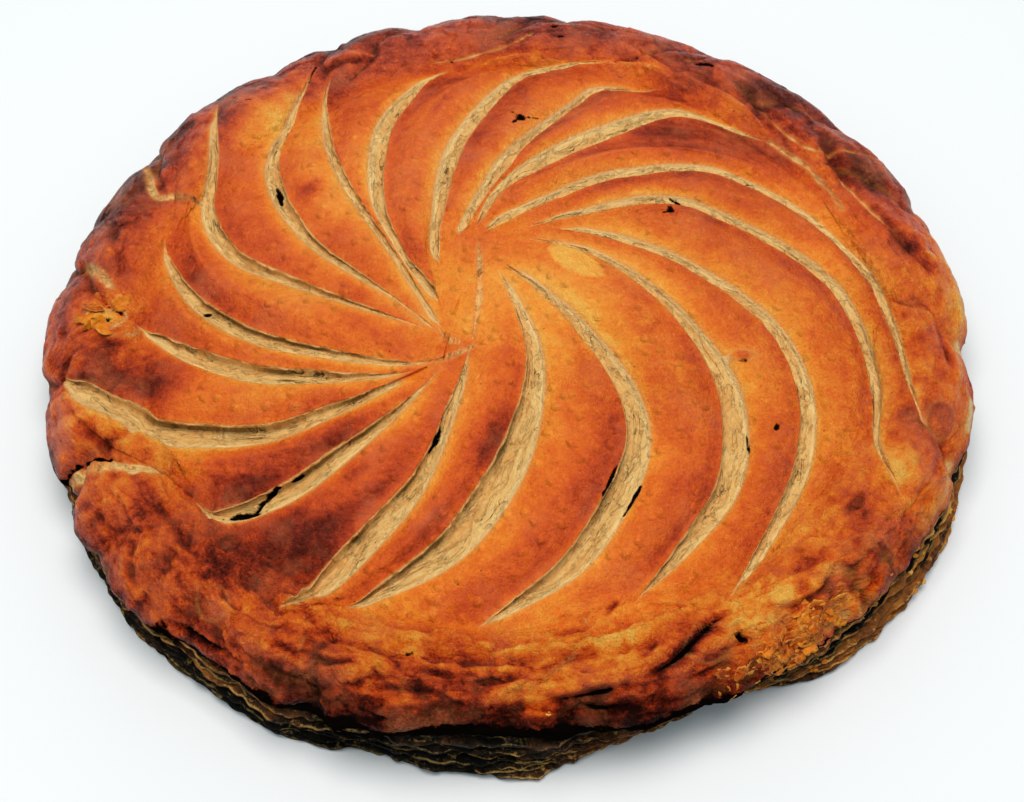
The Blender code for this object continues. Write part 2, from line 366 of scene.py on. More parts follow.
class Grid:
    """Plan grid of the crust, columns along the cuts and rings across them."""

    def __init__(self):
        self.cuts = make_cuts()
        count = len(self.cuts)
        centres = SWIRL[None, :] * (1.0 - np.linspace(0, 1, CROWN_RINGS + 1)[:, None])
        roundness = smooth(np.linspace(0, 1, CROWN_RINGS + 1)[:, None] / 0.3)
        plan, owner, across = [], [], []
        for index, cut in enumerate(self.cuts):
            following = self.cuts[(index + 1) % count]
            for number in range(CUT_COLUMNS):
                share = number / (CUT_COLUMNS - 1) * 2.0 - 1.0
                plan.append(cut.line + cut.side * (share * cut.half)[:, None])
                owner.append(index)
                across.append(0.0)
            start = cut.line + cut.side * cut.half[:, None]
            end = following.line - following.side * following.half[:, None]
            r0, a0 = polar_about(start, centres)
            r1, a1 = polar_about(end, centres)
            turn = (a1 - a0) % 360.0
            turn = np.where(turn > 300.0, 0.02, turn)
            width = r1[-1] * math.radians(turn[-1])
            middle = np.median(r0 * np.radians(turn))
            columns = int(np.clip(max(width, middle) / COLUMN_STEP, 12, 120))
            for number in range(1, columns + 1):
                even = number / (columns + 1)
                part = even - 0.55 * math.sin(2 * math.pi * even) / (2 * math.pi)
                radius = r0 + (r1 - r0) * smooth(part)
                angle = np.radians(a0 + turn * part)
                arc = np.stack((radius * np.cos(angle), radius * np.sin(angle)), axis=1)
                straight = start + (end - start) * part
                plan.append((arc + centres) * roundness + straight * (1 - roundness))
                owner.append(index)
                across.append(part)
        self.crown = np.stack(plan, axis=1)
        self.owner = np.array(owner)
        self.across = np.array(across)
        self.columns = len(owner)


# ---------------------------------------------------------------- relief of the crust

# Cross-section of a cut from its sharp lip to its soft lip: place across (-1 to 1),
# sideways shift in mm, share of the lip's rise, share of the depth, crumb, shade.
CUT_SECTION = (
    (-1, 0, 1, 0, 0, 0), (-1, 0.3, 0.65, 0.02, 0.6, 0), (-1, -0.6, 0.1, 0.5, 1, 0.7),
    (-0.98, -0.35, 0, 0.97, 1, 0.75), (-0.9, 0, 0, 1, 1, 0.35), (-0.7, 0, 0, 0.93, 1, 0.1),
    (-0.38, 0, 0, 0.83, 1, 0), (-0.14, 0, 0, 0.72, 1, 0), (0.1, 0, 0, 0.6, 1, 0),
    (0.34, 0, 0, 0.47, 1, 0), (0.55, 0, 0, 0.34, 1, 0), (0.74, 0, 0, 0.2, 0.9, 0),
    (0.89, 0, 0, 0.07, 0.6, 0), (1, 0, 0, -0.03, 0.2, 0),
)

# Short cuts, cracks and scores besides the swirl: plan points, width, depth, crumb, char
# (black; in the deep slits it is painted shade, partly real charring).
NICKS = (
    (((-10.6, -17.8), (-9.1, -3.3), (-8.9, 5.6), (-9.4, 17.8)), 1.5, 1, 0.9, 0),
    (((-26, -25.5), (-18, -24), (-10.5, -20.5)), 1.6, 1, 0.9, 0),
    (((-20.5, -14), (-18.5, -17.2), (-14.5, -19)), 1.2, 0.8, 0.9, 0),
    (((-117, 63), (-112, 47), (-106, 46), (-97, 45)), 2.6, 0.9, 1, 0),
    (((-130, 20), (-124, 13), (-119, 7)), 3, 0.9, 1, 0),
    (((-133, -54.5), (-124, -53.6), (-117, -53.4), (-108, -55)), 2.1, 2.4, 0, 1.1),
    (((-129, -57), (-120, -56), (-111, -57), (-103, -58.5), (-96, -60)), 3.4, 0.6, 1, 0),
    (((84, 72), (93, 62), (101, 49), (104, 41)), 1.3, 0.7, 0.65, 0),
    (((80, 87), (90, 73), (98.5, 65), (109, 65), (120, 66)), 1.7, 0.8, 0.5, 0),
    (((103, 57), (108, 46), (116, 33), (122.5, 32), (130, 31)), 1.7, 0.8, 0.5, 0),
    (((20, -103), (20, -109), (16.5, -115), (11, -120.5), (5, -126)), 1.5, 1.5, 0.42, 0),
    (((-52.8, -104), (-53.4, -109.5), (-53.6, -114), (-53, -119)), 1.1, 1, 0.3, 0),
    (((-26.8, -120), (-27.6, -127.5)), 1.1, 0.8, 0.3, 0),
    (((60, -98), (61, -105)), 1.2, 0.6, 0.2, 0),
    (((56, 104), (72, 94), (86, 82), (98, 66)), 1.6, 1, 0, 0.2),
    (((50, 109), (62, 108), (69, 112)), 1.4, 1.2, 0.3, 0.3),
    (((-27, 108.5), (-12, 112.5), (-3, 115.5), (7, 121), (12, 127)), 1.8, 0.8, 0.5, 0),
    (((100, -74), (108, -70), (114, -62)), 1, 0.8, 0.2, 0),
)

# Creases of the rim, one side of each standing up: points of angle and way out, width,
# depth, browning, charring, and how much the outer side stands up (inner if negative).
# The browning and charring paint shade into each crease, partly real dark baking; a
# negative browning paints a light highlight line instead.
FOLDS = (
    (((245, 119.5), (248, 121.5), (253, 120.7), (257, 122)), 2.6, 1.3, 0.22, 0, 1.2),
    (((245.5, 127.5), (248, 128.5), (250.5, 126.5), (253, 126)), 1.8, 1, 0.3, 0.1, 0.8),
    (((241, 128.8), (243.5, 128.4), (245, 129)), 1.8, 1, 0.3, 0.1, 0.8),
    (((228, 140), (231.5, 139.5), (234, 139.5), (237, 138.5)), 2.4, 1.4, 0.3, 0.6, 0.3),
    (((218, 130), (220.5, 134), (222.5, 138)), 3, 0.9, 0.2, 0, 0.5),
    (((239, 136), (242, 136), (245.5, 135.5), (249, 138)), 3.6, 1.4, 0.3, 0.3, 0.6),
    (((255, 130), (257, 130.8), (262, 131)), 2.2, 0.9, 0.25, 0.1, 0.4),
    (((258.5, 118.6), (261, 119), (266, 117.5)), 2.4, 0.9, 0.15, 0, 0.8),
    (((267, 121.8), (269.7, 121), (273, 121.5)), 2.2, 1.1, 0.3, 0.1, 1),
    (((265.5, 130), (268, 128), (270, 126.6), (272.5, 125.2)), 3.2, 1.4, 0.36, 0.3, 0.9),
    (((273.5, 133), (276, 133.5), (280, 132.5), (285, 131)), 2.6, 1.6, 0.4, 0.6, -1.2),
    (((277, 135.5), (280.5, 137), (284, 137)), 2.2, 1, 0.3, 0.6, 0.4),
    (((276.5, 110.3), (279, 110.6), (281, 109.5)), 1.8, 0.8, 0.28, 0, 0.6),
    (((281.5, 114), (284.5, 113), (287.5, 109.5)), 3, 1, 0.2, 0, 1),
    (((283.5, 106), (286.5, 102.5)), 1.2, 0.7, 0.3, 0.1, 0.4),
    (((285, 125), (287.2, 123.5), (288.5, 120)), 1.6, 0.9, 0.22, 0, 0.7),
    (((285.5, 130), (288, 129), (291, 126.8), (294, 123.8), (297, 121.3), (300, 121)), 2.5, 2.6,
     0.45, 1, 1),
    (((290.5, 133.5), (293.5, 134), (296, 133)), 1.2, 1, 0.25, 0.6, 0.3),
    (((266, 112), (270, 113.5), (275, 112.5)), 2.6, 0.7, 0.12, 0, 0.8),
    (((252, 110), (256, 112), (261, 111)), 2.4, 0.6, 0.1, 0, 0.6),
    (((288, 112.5), (292, 112), (297, 109)), 2.4, 0.8, 0.14, 0, 0.8),
    (((302, 124), (306, 129), (311, 130), (316, 127)), 2.2, 1, 0.16, 0.1, -0.9),
    (((309, 129), (311.5, 131.5), (310.5, 135)), 3, 1.2, 0.3, 0.2, 0.5),
    (((199, 126), (202, 127.5), (206, 126.5)), 3.6, 1.6, 0.3, 0.1, 1.4),
    (((187, 129), (189, 133), (190, 137)), 2.4, 1.3, 0.3, 0.2, -1),
    (((183, 120), (184.3, 124.5), (184.8, 128)), 1.6, 1.4, 0.2, 1, 0.5),
    (((187, 119.5), (186.8, 112.5)), 1.6, 0.9, 0.3, 0.1, 0.5),
    (((36.5, 125), (32, 121), (28, 119.3), (24.5, 117)), 4.4, 1.7, 0.26, 0, -1.4),
    (((17.5, 121.5), (12, 124.7), (8.3, 127.2), (5, 131)), 3.6, 1.5, 0.26, 0, 1.2),
    (((1, 119), (359.5, 125), (358.4, 131)), 1.6, 0.6, -0.05, 0, -0.8),
    (((357, 129), (353, 130.5), (348, 131)), 2.8, 0.9, 0.2, 0, 0.6),
    (((53, 124), (49, 121), (45, 117)), 3.2, 1.3, 0.26, 0, -1),
    (((60, 117.5), (54.5, 117.5), (49.3, 117), (45.5, 115.5), (41, 114)), 1.6, 0.7, 0.05, 0, -1.1),
    (((101, 107), (94, 111), (87, 114), (80, 111.5)), 2, 0.8, -0.14, 0, -1.4),
    (((84, 109), (76, 113.5), (67, 117), (60, 114.8)), 1.8, 0.8, -0.1, 0, -1.2),
    (((71, 123.5), (66.5, 120), (61, 117)), 1.6, 0.7, 0.1, 0, -0.8),
    (((165, 128), (170, 121), (176, 119)), 3, 0.9, 0.1, 0, 0.8),
    (((112, 118), (118, 122), (124, 119)), 2.6, 0.8, 0.1, 0, 0.8),
)

# Browning besides what follows from the shape: plan place, size and amount.
BROWNING = (
    (-55, -80, 22, 0.3), (-78, -78, 18, 0.22), (-4.5, -57, 7, 0.2), (-45, -49, 10, 0.26),
    (-112, -30, 14, 0.02), (55, 70, 13, 0.16), (80, 65, 12, 0.16), (110, 75, 18, 0.18),
    (97, 97, 16, 0.22), (118, 45, 12, 0.12), (122, 30, 10, 0.12), (-128, 50, 14, 0.18),
    (-130, 15, 12, 0.1), (-120, 80, 12, 0.1), (-60, 125, 12, 0.08), (-126, -48, 12, 0.1),
    (-60, -120, 14, 0.12), (-20, -128, 14, 0.14), (30, -124, 14, 0.16), (-14, 2, 20, -0.18),
    (20, -5, 24, -0.24), (0, -25, 14, -0.1), (-50, 45, 20, -0.18), (-80, 85, 14, -0.2),
    (35, 25, 18, -0.12), (70, -30, 12, -0.1), (105, -60, 12, -0.2), (85, -80, 10, -0.15),
    (-38, -108, 14, -0.12), (10, -110, 14, -0.12), (-90, -52, 14, -0.1), (-121, -1, 6.5, -0.34),
    (-27, -127, 3, -0.3), (7, -128, 3.6, -0.25), (70, -98, 5, -0.22), (87, -80, 5, -0.22),
    (-58, 62, 4, 0.14), (-94, -87, 4, 0.16), (-69, -101, 4, -0.2), (113, 53, 5.5, 0.3),
    (109, -77, 3, 0.18), (122, -36, 4, 0.22), (-100, -72, 5, 0.18), (-95, -92, 18, -0.16),
    (-66, -114, 13, -0.2), (-112, -62, 14, -0.14), (-72, -30, 22, -0.12), (-43, -33, 17, -0.14),
    (-41, -71, 12, -0.1), (-33, -123, 10, -0.1), (31, -116, 10, -0.2), (61, -105, 8, -0.28),
    (0, -120, 10, -0.1), (62, -18, 30, -0.07), (118, -32, 12, -0.14), (134, 8, 14, -0.16),
    (132, 32, 12, -0.14), (93, 92, 14, 0.06), (66, 115, 14, 0.12), (0, 131, 32, 0.12),
    (-95, 95, 18, 0.14), (-118, 68, 16, 0.1), (-62, 115, 16, 0.1), (-128, -34, 10, -0.08),
    (97, -97, 12, 0.07), (0, 0, 50, -0.04), (141, 6, 11, -0.16), (139, -26, 9, -0.12),
    (-81, 81, 12, -0.16), (-66, 70, 10, -0.1), (83, 92, 10, 0.1), (113, 56, 9, 0.1),
    (-100, 10, 16, 0.06), (-62, 45, 4, 0.3), (40, -96, 14, -0.05), (-107, -23, 12, 0.24),
    (-98, 98, 14, 0.2), (-110, 79, 7, 0.3), (-122, 60, 14, 0.14), (-131, 38, 9, 0.22),
    (-84, -107, 12, 0.1), (-50, 122, 16, 0.08), (30, -114, 9, -0.2), (105, -61, 10, -0.14),
    (98, -26, 16, -0.08), (99, 72, 18, -0.06), (-65, -113, 12, -0.1), (-118, -41, 8, -0.32),
    (137, 22, 9, -0.2), (139, 2, 9, -0.14), (-6, -28, 9, 0.14), (0, -55, 8, 0.1),
    (-47, 27, 9, 0.1), (-100, -27, 12, 0.14), (-124, 33, 8, 0.12), (54, 94, 11, 0.14),
    (-28, 104, 16, 0.08), (30, -114, 8, -0.1), (61, -105, 7, -0.1),
)

# Charred spots and small holes: plan place, half length, half width, turn in degrees,
# how black, and how deep. The black is real charring on the spots and painted shade in
# the holes.
MARKS = (
    (3, 75.6, 1.9, 1.6, 0, 1, 0.5), (6, 76.3, 3, 0.6, 12, 0.9, 0.3),
    (1.4, 74, 2.4, 0.6, 62, 0.8, 0.3), (1.8, 77.6, 2.2, 0.5, -50, 0.8, 0.3),
    (49, 34.4, 1.3, 1.5, 0, 1, 0.6), (47.6, 33.4, 1.8, 0.5, 35, 0.8, 0.3),
    (50, 33.6, 1.6, 0.5, -40, 0.8, 0.3), (74.5, -45, 1.6, 1.1, 70, 0.9, 0.6),
    (-25.5, -116, 0.9, 0.7, 0, 0.85, 0.8), (-15, -116.5, 0.6, 1.2, 0, 0.8, 0.5),
    (60.2, -110.2, 1.7, 1.6, 0, 1, 3), (64.5, 105, 3.2, 1, -10, 1, 1),
    (17, 118.5, 0.8, 0.7, 0, 0.9, 0.4), (-19.5, 110, 0.8, 0.6, 0, 0.9, 0.4),
    (-90.5, -1.5, 0.9, 0.7, 0, 0.9, 0.4), (-85.5, 87, 1.4, 0.5, 0, 0.8, 0.4),
    (-97.5, 21, 0.9, 0.7, 0, 0.9, 0.4), (-20.4, -51.5, 4.8, 0.55, 70, 1, 1.2),
    (33.2, -70.4, 5.6, 0.6, 60, 1, 1), (27.2, -65, 4.6, 0.5, 66, 0.9, 0.6),
    (66.5, -49, 5.5, 0.4, 90, 0.9, 0.5), (-72.8, 46, 5, 0.55, 106, 1, 1),
    (-73.5, -72.2, 4.6, 1.1, 8, 1, 0.9), (-66.3, -67.3, 5.4, 0.7, 45, 0.95, 0.6),
    (-58.6, -61.8, 4.6, 0.5, 28, 0.8, 0.4), (-65.8, 103.5, 4.2, 0.45, 76, 0.8, 0.6),
    (-92, -101.5, 2.4, 1.5, -45, 0.62, 0.5), (-87.5, -103.5, 1.5, 1, 0, 0.45, 0.5),
    (-50, -124, 3, 1.4, 0, 0.6, 1), (-32, -128, 1.4, 0.8, 0, 0.5, 0.6),
    (-90, 89.5, 1.8, 0.5, 160, 0.6, 0.5), (15, 124, 1, 1, 0, 0.8, 0.6),
    (66, -23.5, 3.2, 0.7, 8, 0.6, 0.8), (-121, -6, 4, 1.2, 40, 0.9, 0.8),
    (-125, 62, 3, 0.8, 55, 0.7, 0.4), (52, 40, 5, 0.3, 160, 0.7, 0.3),
)

# Layers that have lifted as a patch: plan place, half length, half width, turn in
# degrees, rise, browning, and how much of its edge is bare.
PATCHES = (
    (19, 11, 10.5, 4.6, -38, 0.25, -0.26, 0), (97, -88, 9.5, 10, 50, 0.55, 0.16, 0.3),
    (72, -96, 5.6, 3.6, 48, 0.35, -0.24, 0.2), (-120, -4, 6.5, 4.5, 30, 0.5, -0.16, 0.8),
    (-114, -9, 4, 2.6, 10, 0.6, 0.02, 0.8), (66, -22, 3.4, 1.6, 10, 0.5, 0.2, 0.7),
    (-66, -84, 17, 11, 35, 0.3, 0.06, 0), (52, -112, 7, 4, 20, 0.4, 0.05, 0.3),
    (-28, -112, 8, 3.6, -5, 0.4, -0.05, 0.2), (6, -114, 9, 3.2, 8, 0.4, -0.06, 0.2),
    (-78, -100, 6, 4, -40, 0.4, -0.08, 0.3), (85, -98, 5, 3.5, 40, 0.4, 0.05, 0.1),
    (122, -40, 7, 3.6, 70, 0.35, 0.06, 0.3), (104, -62, 6.5, 4, 60, 0.25, -0.1, 0.1),
    (-112, -52, 7, 4.2, 60, 0.4, -0.06, 0.2), (-2, -47, 8, 5, 60, 0.2, 0.05, 0),
    (52, -64, 7, 4, 60, 0.25, 0.04, 0.1), (-38, 88, 7, 3.4, 60, 0.2, -0.08, 0),
)

BLISTERS = 700
BLISTER_REACH = 138.0    # how far out they lie
BLISTER_SEED = 11


def grid_normals(points):
    """Upward normals of a grid that is joined up round the pie."""
    down = np.gradient(points, axis=0)
    across = np.roll(points, -1, axis=1) - np.roll(points, 1, axis=1)
    normal = np.cross(down, across)
    length = np.linalg.norm(normal, axis=2, keepdims=True)
    return normal / np.maximum(length, 1e-9)


def reach_of(radius, degrees):
    """Way out along the plain surface for a plan radius on the crown or the roll's top."""
    top = int(np.argmax(SECTION[:, 0]))
    share = (radius - GROOVE) / (roll_radius(degrees) - GROOVE)
    out = np.interp(share * ROLL_SPAN, SECTION[:top, 0], SECTION_PLACE[:top])
    return np.where(radius > GROOVE, GROOVE + out, radius)


def unrolled(degrees, reach):
    """Plan of the surface with the way out along it as the radius."""
    angle = np.radians(degrees)
    return reach * np.cos(angle), reach * np.sin(angle)


def line_field(x, y, points, margin=9.0):
    """Distance from a plan line, share along it and way beyond it, near the line."""
    line, _ = spline(points, 40)
    best = np.full(x.shape, 1e9)
    place, beyond = np.zeros(x.shape), np.zeros(x.shape)
    near = ((x > line[:, 0].min() - margin) & (x < line[:, 0].max() + margin)
            & (y > line[:, 1].min() - margin) & (y < line[:, 1].max() + margin))
    px, py = x[near], y[near]
    found, where, past = best[near], place[near], beyond[near]
    for index in range(len(line) - 1):
        ax, ay = line[index]
        dx, dy = line[index + 1] - line[index]
        part = np.clip(((px - ax) * dx + (py - ay) * dy) / (dx * dx + dy * dy), 0, 1)
        gap = np.hypot(px - ax - part * dx, py - ay - part * dy)
        closer = gap < found
        found = np.where(closer, gap, found)
        where = np.where(closer, (index + part) / (len(line) - 1), where)
        past = np.where(closer, np.hypot(px, py)
                        - np.hypot(ax + part * dx, ay + part * dy), past)
    best[near], place[near], beyond[near] = found, where, past
    return best, place, beyond


def spot_gap(x, y, cx, cy, long, wide, turn):
    """Distance from the middle of a turned oval, 1 at its edge."""
    angle = math.radians(turn)
    along = ((x - cx) * math.cos(angle) + (y - cy) * math.sin(angle)) / long
    across = ((y - cy) * math.cos(angle) - (x - cx) * math.sin(angle)) / wide
    return np.hypot(along, across)


def along_cut(run, number, size, seed, octaves=1, second=0.0):
    """Noise along one cut, different for each cut."""
    place = np.stack((run, 0 * run + second, 0 * run + 50 * number), axis=-1)
    return clouds(place, size, seed, octaves)


class Crust:
    """The whole top of the pie as one grid of rings and columns, with what paints it."""

    def __init__(self, grid):
        self.grid = grid
        self.columns = grid.columns
        self.lay_out()
        self.shape()
        self.paint()

    def lay_out(self):
        """Places of the grid on the plain surface, from the hub over the crown and rim."""
        grid = self.grid
        share = (np.arange(1, HUB_RINGS) / HUB_RINGS)[:, None, None]
        hub = SWIRL + (grid.crown[:1] - SWIRL) * share
        plan = np.concatenate((hub, grid.crown), axis=0)
        radius = np.hypot(plan[..., 0], plan[..., 1])
        degrees = np.degrees(np.arctan2(plan[..., 1], plan[..., 0]))
        reach = reach_of(radius, degrees)
        last_reach, last = reach[-1], np.unwrap(degrees[-1], period=360.0)
        even = 360.0 * np.arange(self.columns) / self.columns
        even += np.mean(last - even)
        end = GROOVE + SECTION_RUN
        part = (np.arange(1, RIM_RINGS + 1) / RIM_RINGS)[:, None]
        self.reach = np.concatenate((reach, last_reach + (end - last_reach) * part))
        spread = last + (even - last) * smooth(part / 0.75)
        self.degrees = np.concatenate((degrees, spread))
        self.base = plain_surface(self.reach, self.degrees)
        self.x, self.y = self.base[..., 0], self.base[..., 1]
        self.normal = grid_normals(self.base)
        self.rings = self.reach.shape[0]
        self.first = HUB_RINGS - 1
        self.last = self.first + CROWN_RINGS
        crown = CROWN_RINGS + 1
        hub, rim = np.zeros(self.first), np.ones(RIM_RINGS)
        self.share = np.concatenate((hub, np.linspace(0, 1, crown), rim))
        self.on_cuts = np.concatenate((hub, np.ones(crown), 0.0 * rim))

    def field(self, values):
        """Values given for the cut rings, held at their ends over hub and rim."""
        before = np.repeat(values[:1], self.first, axis=0)
        after = np.repeat(values[-1:], RIM_RINGS, axis=0)
        return np.concatenate((before, values, after))

    def shape(self):
        """All the relief: a lift along the surface's normals and a slide in plan."""
        shape = (self.rings, self.columns)
        self.lift, self.slide = np.zeros(shape), np.zeros(shape + (2,))
        self.lay = np.zeros(shape + (3,))   # along the cut, across it, and which cut
        self.crumb, self.shade, self.edge = np.zeros(shape), np.zeros(shape), np.zeros(shape)
        # char: black for real charring, and painted shade in holes, deep slits, creases and under
        # the roll's lip.
        self.golden, self.char = np.zeros(shape), np.zeros(shape)
        self.part, self.petal = np.zeros(shape), np.zeros(shape)
        for index, cut in enumerate(self.grid.cuts):
            own = np.nonzero(self.grid.owner == index)[0]
            self.lay[:, own, 0] = (self.share * cut.length)[:, None]
            self.lay[:, own, 2] = 37.0 * index
            self.add_cut(index, cut, own[:CUT_COLUMNS])
            self.add_petal(index, cut, own[CUT_COLUMNS:])
        self.lay[self.last:] = self.base[self.last:]
        first = self.first
        self.lay[:first] = self.lay[first] + self.base[:first] - self.base[first]
        self.add_rim()
        self.add_folds()
        self.add_unevenness()
        self.add_nicks()
        self.add_patches()
        self.add_marks()
        self.points = self.base + self.normal * self.lift[..., None]
        self.points[..., :2] += self.slide

    def add_cut(self, index, cut, columns):
        """Lips, walls and bare floor of one cut."""
        width = self.field(cut.width) * self.on_cuts
        half, side = self.field(cut.half), self.field(cut.side)
        line = np.concatenate((cut.line, 0 * cut.line[:, :1]), axis=1)
        wobble = 1.0 + 0.25 * noise(self.field(line), 14.0, index)
        depth = np.minimum(0.4 + 0.30 * width, 2.9) * smooth(width / 2.0) * wobble
        rise = 0.95 * smooth((width - 0.6) / 3.4) * wobble
        run = self.share * cut.length
        torn = noise(np.stack((run, 0 * run + 50 * index, 0 * run), axis=-1), 1.9, 33)
        torn += 0.8 * along_cut(run, index, 4.5, 34)
        gloom = along_cut(run, index, 16.0, 36, 2, 90.0)
        gloom = 0.15 + 1.25 * smooth(0.5 + 1.8 * gloom)
        for number, column in enumerate(columns):
            place, shift, up, down, bare, dark = CUT_SECTION[number]
            even = number / (CUT_COLUMNS - 1) * 2.0 - 1.0
            self.lift[:, column] = up * rise - down * depth
            move = (place - even) * half + shift * smooth(width / 3.0)
            if number < SHARP_COLUMNS:
                move = move + 0.28 * torn * smooth(width / 3.0)
            self.slide[:, column] = side * (move * self.on_cuts)[:, None]
            self.crumb[:, column] = bare * smooth(width / 1.1)
            self.shade[:, column] = dark * smooth(width / 2.0) * gloom
            self.lay[:, column, 1] = place * half
        seen = smooth(width / 1.5)[:, None]
        self.edge[:, columns[:SHARP_COLUMNS]] += 0.9 * seen
        self.edge[:, columns[-SOFT_COLUMNS:]] += seen

    def add_petal(self, index, cut, columns):
        """The puffed crust between a cut's soft lip and the next cut's sharp one."""
        following = self.grid.cuts[(index + 1) % len(self.grid.cuts)]
        span = self.field(np.linalg.norm(following.line - cut.line, axis=1))
        next_width = self.field(following.width) * self.on_cuts
        next_rise = 0.95 * smooth((next_width - 0.6) / 3.4)
        seen = smooth(self.field(cut.width) * self.on_cuts / 1.5)[:, None]
        next_seen = smooth(next_width / 1.5)[:, None]
        part = self.grid.across[columns][None, :]
        self.lay[:, columns, 1] = part * span[:, None]
        self.part[:, columns] = part
        self.petal[:, columns] = 1.0
        puff = 3.1 * smooth(span / 26.0) * smooth(self.share / 0.22)
        puff *= 1.0 - 0.75 * smooth((self.share - 0.72) / 0.28)
        body = np.sin(math.pi * part ** 0.85) ** 0.75
        to_sharp = (1.0 - part) * span[:, None]
        to_soft = part * span[:, None]
        self.lift[:, columns] += puff[:, None] * body
        self.lift[:, columns] += next_rise[:, None] * bell(to_sharp, 2.6)
        self.golden[:, columns] = (seen * bell(to_soft, 3.2)
                                   + 0.7 * next_seen * bell(to_sharp, 2.4))
        worn = smooth(0.4 + 1.3 * noise(self.lay[:, columns] * np.array((0.16, 0.0, 1.0)),
                                        1.0, 35))
        self.edge[:, columns] += seen * bell(to_soft, 1.7)
        self.edge[:, columns] += 0.75 * next_seen * worn * bell(to_sharp, 0.55)

    def add_rim(self):
        """Lobes of the rolled rim, with a crease and a small overlap at each notch."""
        reach, degrees = self.reach, self.degrees
        run = np.radians(1.0) * np.hypot(self.x, self.y)
        on_rim = smooth((reach - 110.0) / 12.0)
        self.near_side = bell(wrap(degrees - NEAR_SIDE), 62.0)
        lobes = np.ones_like(reach)
        crease, seam = np.zeros_like(reach), np.zeros_like(reach)
        for number, (angle, depth, slant) in enumerate(NOTCHES):
            wiggle = 1.6 * noise(np.stack((reach, 0 * reach + 9 * number, 0 * reach),
                                          axis=-1), 7.0, 5)
            line = angle + slant * (134.0 - reach) / 24.0 + wiggle
            gap = wrap(degrees - line) * run
            lobes -= bell(gap, 9.0)
            start = 112.0 + 5.0 * math.sin(3.0 * number)
            along = smooth((reach - start) / 9.0)
            overlap = smooth((1.4 - gap) / 2.8) * smooth((gap + 12.0) / 10.0)
            self.lift -= 0.55 * depth * bell(gap, 1.7) * along
            self.lift += 0.28 * depth * overlap * along
            self.lift -= 0.30 * depth * bell(gap, 6.5) * on_rim
            crease += min(depth / 2.5, 1.0) * bell(gap, 1.0) * along
            seam += min(depth / 2.0, 1.0) * bell(gap - 1.2, 1.8) * along
        self.lift += (1.2 - 0.7 * self.near_side) * lobes * on_rim
        self.crease = crease
        self.seam = seam
        self.on_rim = on_rim

    def add_folds(self):
        """Creases of the rim, each with one side standing up."""
        x, y = unrolled(self.degrees, self.reach)
        self.folded = np.zeros_like(x)
        for points, width, depth, brown, black, stand in FOLDS:
            angle, out = np.array(points, float).T
            line = np.stack(unrolled(angle, out), axis=1)
            gap, place, beyond = line_field(x, y, line, 14.0)
            ends = np.sin(math.pi * np.clip(place, 0.01, 0.99)) ** 0.6
            uneven = 1.0 + 0.35 * noise(self.base, 4.0, 63)
            wide = width * uneven
            self.lift -= 1.15 * depth * bell(gap, 0.42 * wide) * ends
            crest = smooth(gap / (0.8 * wide)) * bell(gap - 0.8 * wide, 1.2 * wide)
            crest *= smooth(beyond * np.sign(stand) / 0.3) * ends * (gap < 14.0)
            self.lift += 1.25 * abs(stand) * crest
            # Painted shade along each crease and black in its depth, partly real dark baking; the
            # raised crest is painted a little lighter as a highlight.
            self.folded += 1.25 * brown * bell(gap, 0.7 * wide) * ends - 0.15 * crest
            dark = 1.1 * black * bell(gap, 0.32 * wide) * ends * uneven
            self.char = np.maximum(self.char, dark)

    def add_unevenness(self):
        """Lumps, layers and blisters, and how hollow each place then is."""
        bare = 1.0 - self.crumb
        before = self.lift.copy()
        self.add_lumps(bare)
        self.add_layers(bare)
        self.add_blisters(bare)
        change = (self.lift - before) * bare
        self.hollow = blur(change, 5, 3) - change

    def add_lumps(self, bare):
        """Soft lumps, wrinkles of the rim and the small plates its glaze has broken into."""
        base, reach, degrees, near_side = self.base, self.reach, self.degrees, self.near_side
        self.rough = np.clip(0.12 + smooth((reach - 98.0) / 18.0) * (0.3 + 0.6 * near_side)
                             + 0.35 * clouds(base, 34.0, 41, 2), 0.0, 1.0)
        self.lift += 0.8 * clouds(base, 30.0, 1, 2) * smooth(reach / 40.0)
        self.lift += (0.16 + 0.75 * self.rough) * clouds(base, 8.0, 2, 2) * (0.4 + 0.6 * bare)
        self.lift += (0.36 * self.rough + 0.02) * ridges(base, 4.2, 3, 2) * bare
        bend = 0.45 * noise(base, 13.0, 8)
        turned = np.stack((reach / 6.6 + bend, np.radians(degrees) * GROOVE / 24.0,
                           0.3 * noise(base, 11.0, 9)), axis=-1)
        zone = smooth((reach - 101.0) / 7.0) * smooth((141.0 - reach) / 9.0)
        zone = zone * (0.22 + 0.78 * near_side + 0.3 * bell(wrap(degrees - 62.0), 40.0))
        self.lift += 1.1 * ridges(turned, 1.0, 6, 2) * zone * bare
        bend = 0.30 * clouds(base, 7.0, 10, 3)
        plate, seam, tone = plates(np.radians(degrees) * 130.0 / 9.076 + bend,
                                   reach / 5.5 + np.roll(bend, 40, axis=1), 90, 24)
        small, crack, shade = plates(np.radians(degrees) * 130.0 / 4.085 + 2.0 * bend,
                                     reach / 2.9 - 2.0 * bend, 200, 25)
        share = smooth((reach - 104.0) / 8.0) * smooth((146.0 - reach) / 6.0) * bare
        share = share * (0.35 + 0.65 * near_side)
        self.lift += (1.1 * plate + 0.45 * small) * share
        self.plate_tone = (0.10 * tone + 0.07 * shade + 0.07 * bell(seam, 0.07)
                           - 0.06 * plate - 0.05 * small) * (0.25 + 0.75 * share)
        self.plate_tone += 0.05 * bell(crack, 0.06) * share

